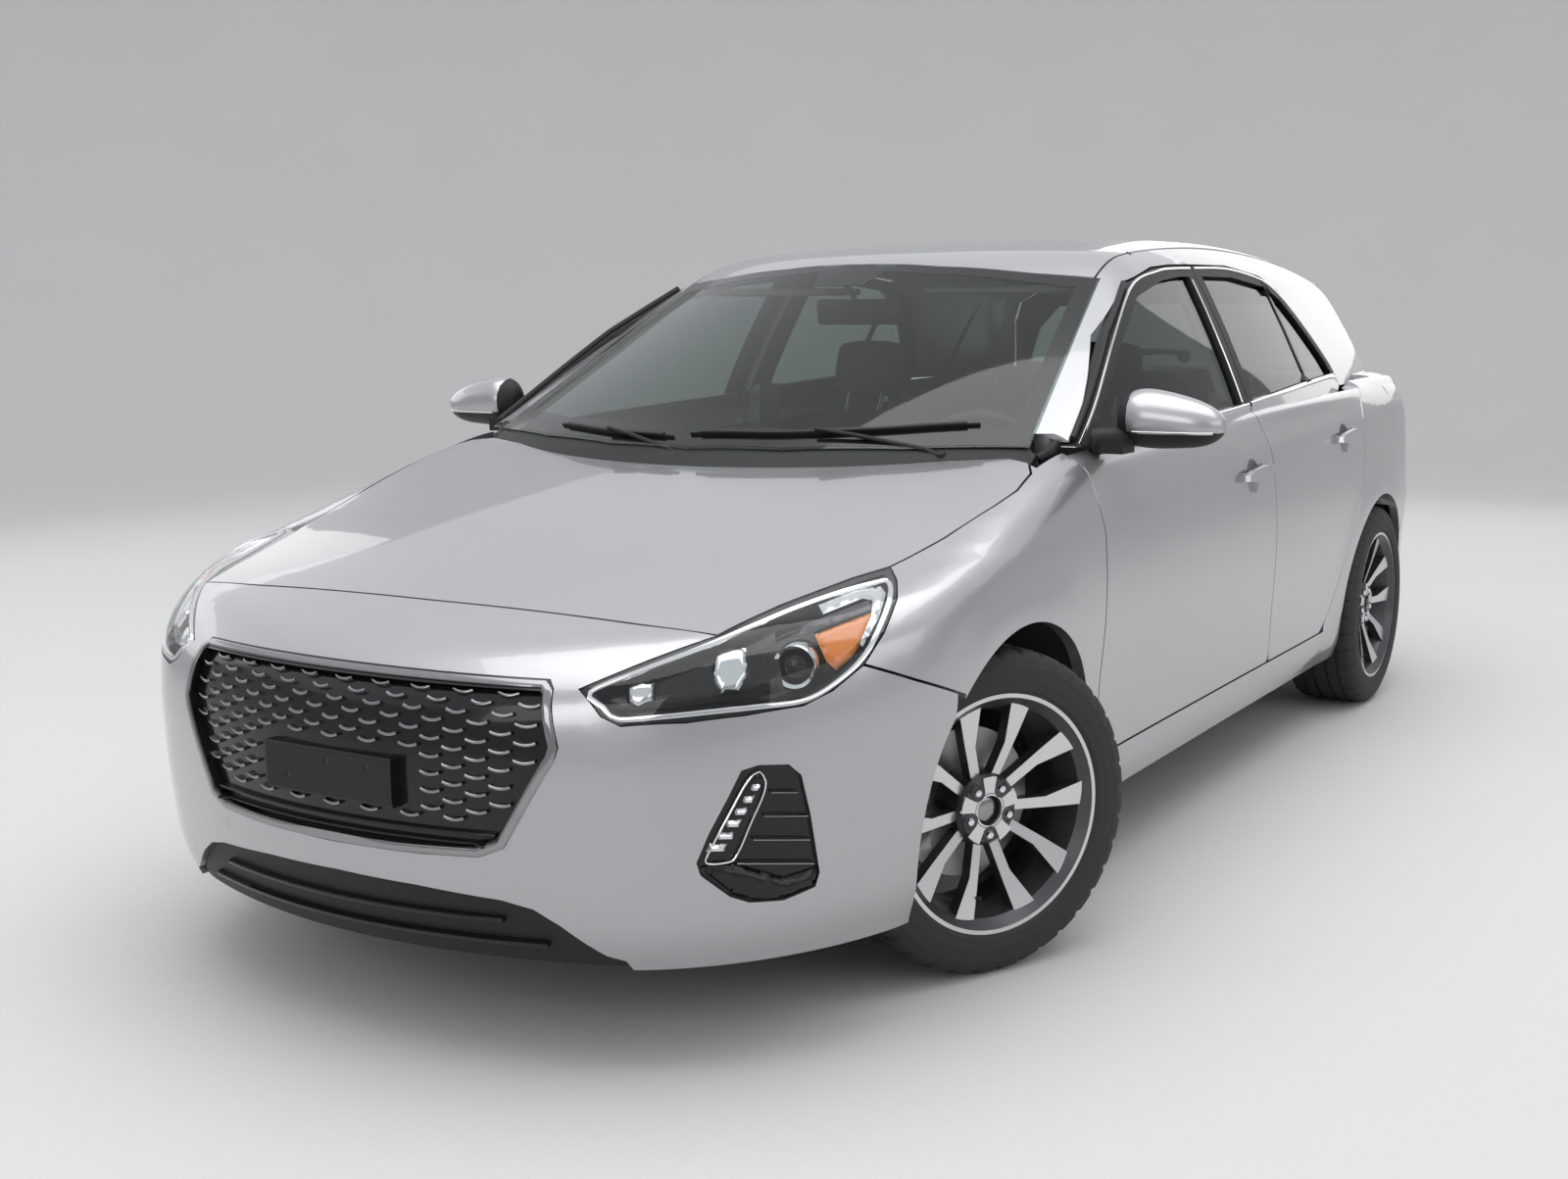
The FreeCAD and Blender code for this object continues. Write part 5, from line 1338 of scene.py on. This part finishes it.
console = joined([block((-0.12, -0.085, 0.331), (0.55, 0.085, 0.47), 0.02, 3),
                  block((-0.3, -0.08, 0.331), (0.02, 0.08, 0.58), 0.03, 3),
                  block((0.42, -0.09, 0.4), (0.6, 0.09, 0.7), 0.03, 3)])
add_piece("centre_console", console, SOFT_TRIM)
stalk = rod([(0.3, 0, 0.465), (0.29, 0, 0.52), (0.282, 0, 0.56)], [0.012, 0.009, 0.009])
knob = turned([(0.0005, 0.032), (0.012, 0.03), (0.021, 0.02), (0.023, 0.004), (0.017, -0.012),
               (0.0005, -0.014)], (0.281, 0, 0.572), (-0.1, 0, 1), 28)
add_piece("shift_lever", joined([stalk, knob]), GLOSS_BLACK)
print("dashboard done")

# %% [markdown]
# The CAD steering wheel has the right rim and column. A padded boss and a
# bright lower spoke trim are added in front of it.

# %% Steering wheel boss
COLUMN_LEAN = math.radians(115)
hub_at = Vector((0.345, 0.37, 0.845))
face_way = Vector((-math.sin(COLUMN_LEAN), 0, -math.cos(COLUMN_LEAN)))
boss = turned([(0.0005, 0.03), (0.035, 0.028), (0.062, 0.018), (0.072, 0.002), (0.07, -0.02),
               (0.04, -0.036), (0.0005, -0.038)], hub_at, face_way, 40)
add_piece("steering_boss", boss, SOFT_TRIM)
spoke_down = rod([hub_at + Vector((-0.02, 0, -0.05)), hub_at + Vector((-0.06, 0, -0.165))],
                 [0.016, 0.012])
add_piece("steering_lower_spoke", spoke_down, DARK_CHROME)
print("steering wheel done")

# %% [markdown]
# Door cards, headlining, mirror and visors are simple moulded panels. They
# are seen through the glass and when the doors stand open.

# %% Door cards and roof trim
def door_card(skin, at, x0, x1, z0, z1):
    """Panel on the inner face of a door, met at X and Z, with an arm rest and a pocket."""
    y = skin.meet((at[0], 0.2, at[1]), (0, 1, 0))[0].y - 0.001
    size = x1 - x0
    return joined([block((x0, y - 0.012, z0), (x1, y, z1), 0.005),
                   block((x0 + 0.12 * size, y - 0.055, 0.64),
                         (x1 - 0.15 * size, y - 0.008, 0.69), 0.014, 3),
                   block((x0 + 0.1 * size, y - 0.04, z0 + 0.015),
                         (x1 - 0.2 * size, y - 0.008, z0 + 0.11), 0.012, 3)])


add_pair("front_door_card", door_card(FRONT_DOOR_SKIN, (0.3, 0.6), -0.205, 0.76, 0.4, 0.93),
         SOFT_TRIM, FRONT_DOORS)
add_pair("rear_door_card", door_card(Skin("door_rear_left"), (-0.6, 0.6), -0.96, -0.36, 0.48,
                                     0.96), SOFT_TRIM, REAR_DOORS)
INNER_ROOF = Skin("roof_panel")
ACROSS_ROOF = 17
under_rows = []
for x in np.linspace(0.26, -1.62, 28):
    upper = []
    lower = []
    for y in np.linspace(-0.5, 0.5, ACROSS_ROOF):
        hit = INNER_ROOF.meet((x, y, 1.0), (0, 0, 1))
        if hit:
            lower.append(hit[0] + Vector((0, 0, -0.014)))
            upper.append(hit[0] + Vector((0, 0, -0.003)))
    if len(lower) == ACROSS_ROOF:
        under_rows.append(lower + upper[::-1])
add_piece("headlining", tube(under_rows), CLOTH_PALE, sharp=60)
stem = SCREEN.from_above(0.44, 0.0)[0] + Vector((-0.006, 0, -0.01))
arm = rod([stem, stem + Vector((-0.035, 0, -0.03)), stem + Vector((-0.05, 0, -0.055))], 0.007)
housing = moved(block((-0.012, -0.12, -0.032), (0.012, 0.12, 0.032), 0.01, 3),
                leaning(stem + Vector((-0.062, 0, -0.07)), 8))
add_piece("inside_mirror", joined([arm, housing]), GRAIN_BLACK)
visors = joined([block((0.12, y - 0.19, 1.3), (0.3, y + 0.19, 1.318), 0.008, 3)
                 for y in (0.33, -0.33)])
add_piece("sun_visors", visors, CLOTH_PALE)
print("cabin trim done")

# %% [markdown]
# Under the bonnet stand an engine cover, an air box, a battery and two
# bottles, over the plain CAD engine. Each is set from the bonnet's own
# height, so nothing touches it when it is shut.

# %% Engine bay
def below_hood(x, y, gap=0.075):
    return HOOD.from_above(x, y)[0].z - gap


cover_top = min(below_hood(x, y) for x in (1.27, 1.45, 1.6) for y in (-0.26, 0.0, 0.26))
cover_top = max(0.752, min(cover_top, 0.8))
cover = [block((1.27, -0.27, 0.742), (1.6, 0.27, cover_top), 0.012, 3)]
for k in range(6):
    y = -0.2 + 0.08 * k
    cover.append(block((1.3, y - 0.006, cover_top - 0.004),
                       (1.57, y + 0.006, cover_top + 0.006), 0.003))
cover.append(turned([(0.0005, 0.022), (0.026, 0.022), (0.032, 0.014), (0.032, -0.01),
                     (0.0005, -0.01)], (1.545, 0.235, cover_top), (0, 0, 1), 32))
add_piece("engine_cover", joined(cover), GRAIN_BLACK)
cell_top = min(below_hood(1.35, 0.52), below_hood(1.52, 0.52), 0.735)
battery = [block((1.33, 0.375, cell_top - 0.15), (1.54, 0.535, cell_top), 0.008)]
for x in (1.365, 1.505):
    battery.append(turned([(0.0005, 0.016), (0.01, 0.016), (0.011, 0.0), (0.0005, -0.004)],
                          (x, 0.42, cell_top), (0, 0, 1), 20))
add_piece("battery", joined(battery), GRAIN_BLACK)
air_top = min(below_hood(1.35, -0.52), below_hood(1.55, -0.52), 0.74)
air_box = joined([block((1.33, -0.545, air_top - 0.17),
                        (1.56, -0.35, air_top - 0.06), 0.02, 3),
                  block((1.322, -0.552, air_top - 0.062), (1.568, -0.343, air_top), 0.016, 3),
                  rod([(1.45, -0.345, air_top - 0.08), (1.44, -0.3, air_top - 0.055),
                       (1.43, -0.24, air_top - 0.06)], 0.028, 18)])
add_piece("air_box", air_box, GRAIN_BLACK)
bottles = []
for x, y, size in ((1.2, 0.42, 0.055), (1.21, -0.44, 0.045)):
    top = min(below_hood(x, y, 0.06), 0.8)
    bottles.append(turned([(0.0005, 0.0), (size * 0.45, 0.0), (size * 0.5, -0.022),
                           (size * 0.8, -0.035), (size, -0.055), (size, -0.17),
                           (size * 0.9, -0.18), (0.0005, -0.18)], (x, y, top), (0, 0, 1), 32))
add_piece("fluid_bottles", joined(bottles), LED_PALE)
print("bay tops", round(cover_top, 3), round(cell_top, 3), round(air_top, 3))

# %% [markdown]
# A small moulded cover closes the corner between the wing, the door and the
# foot of the windscreen.

# %% Corner covers
corner = rod([(0.88, 0.735, 0.95), (0.862, 0.752, 0.964), (0.84, 0.758, 0.984)],
             [0.012, 0.014, 0.009], 14)
add_pair("pillar_foot_cover", corner, GRAIN_BLACK)
print("corner covers placed")

# %% [markdown]
# The studio is a round pale bowl: a flat floor that curves up into a low
# wall all round. A broad soft light hangs over the car and weaker ones
# stand at its front, sides and back.

# %% Studio
FLAT, BEND, WALL_TOP = 10.0, 6.0, 7.5


def make_studio():
    g = Graph("pale_floor")
    cloud = g.noise(0.9, 5.0)
    speck = g.noise(45.0, 4.0)
    tone = g.mix(cloud * 0.5 + speck * 0.5, (0.62, 0.62, 0.615), (0.68, 0.68, 0.675))
    floor_finish = g.surface({"Base Color": tone, "Roughness": 0.75})
    profile = [(FLAT, 0.0)]
    for k in range(1, 17):
        a = math.radians(90 * k / 16)
        profile.append((FLAT + BEND * math.sin(a), BEND - BEND * math.cos(a)))
    profile.append((FLAT + BEND, WALL_TOP))
    bm = bmesh.new()
    count = 96
    rings = [[bm.verts.new((far * math.cos(2 * math.pi * k / count),
                            far * math.sin(2 * math.pi * k / count), high))
              for k in range(count)] for far, high in profile]
    bm.faces.new(rings[0])
    for a, b in zip(rings, rings[1:]):
        for k in range(count):
            bm.faces.new((a[k], b[k], b[(k + 1) % count], a[(k + 1) % count]))
    mesh = bpy.data.meshes.new("studio_floor")
    bm.to_mesh(mesh)
    bm.free()
    mesh.polygons.foreach_set("use_smooth", [True] * len(mesh.polygons))
    mesh.materials.append(floor_finish)
    add_object("studio_floor", mesh)


def add_light(name, place, aim, size, power):
    data = bpy.data.lights.new(name, "AREA")
    data.shape = "RECTANGLE"
    data.size, data.size_y = size
    data.energy = power
    lamp = add_object(name, data)
    lamp.location = place
    lamp.rotation_mode = "QUATERNION"
    lamp.rotation_quaternion = (Vector(aim) - Vector(place)).to_track_quat("-Z", "Y")


make_studio()
add_light("overhead", (0.6, 0.4, 5.6), (0.0, 0.0, 0.6), (7.5, 5.0), 210)
add_light("front_fill", (7.0, 0.5, 2.8), (1.5, 0.0, 0.6), (4.0, 2.4), 55)
add_light("side_fill", (1.5, 7.0, 2.8), (0.2, 0.0, 0.7), (6.5, 2.4), 48)
add_light("far_side_fill", (0.0, -7.0, 2.8), (0.0, 0.0, 0.7), (6.5, 2.4), 42)
add_light("back_fill", (-7.0, 0.0, 2.8), (-1.5, 0.0, 0.7), (4.5, 2.4), 34)
world = bpy.data.worlds.new("studio_air")
world.use_nodes = True
air = world.node_tree.nodes["Background"].inputs
air[0].default_value = (0.8, 0.82, 0.85, 1.0)
air[1].default_value = 0.95
bpy.context.scene.world = world
bpy.context.scene.view_settings.view_transform = "Standard"
print("studio ready")
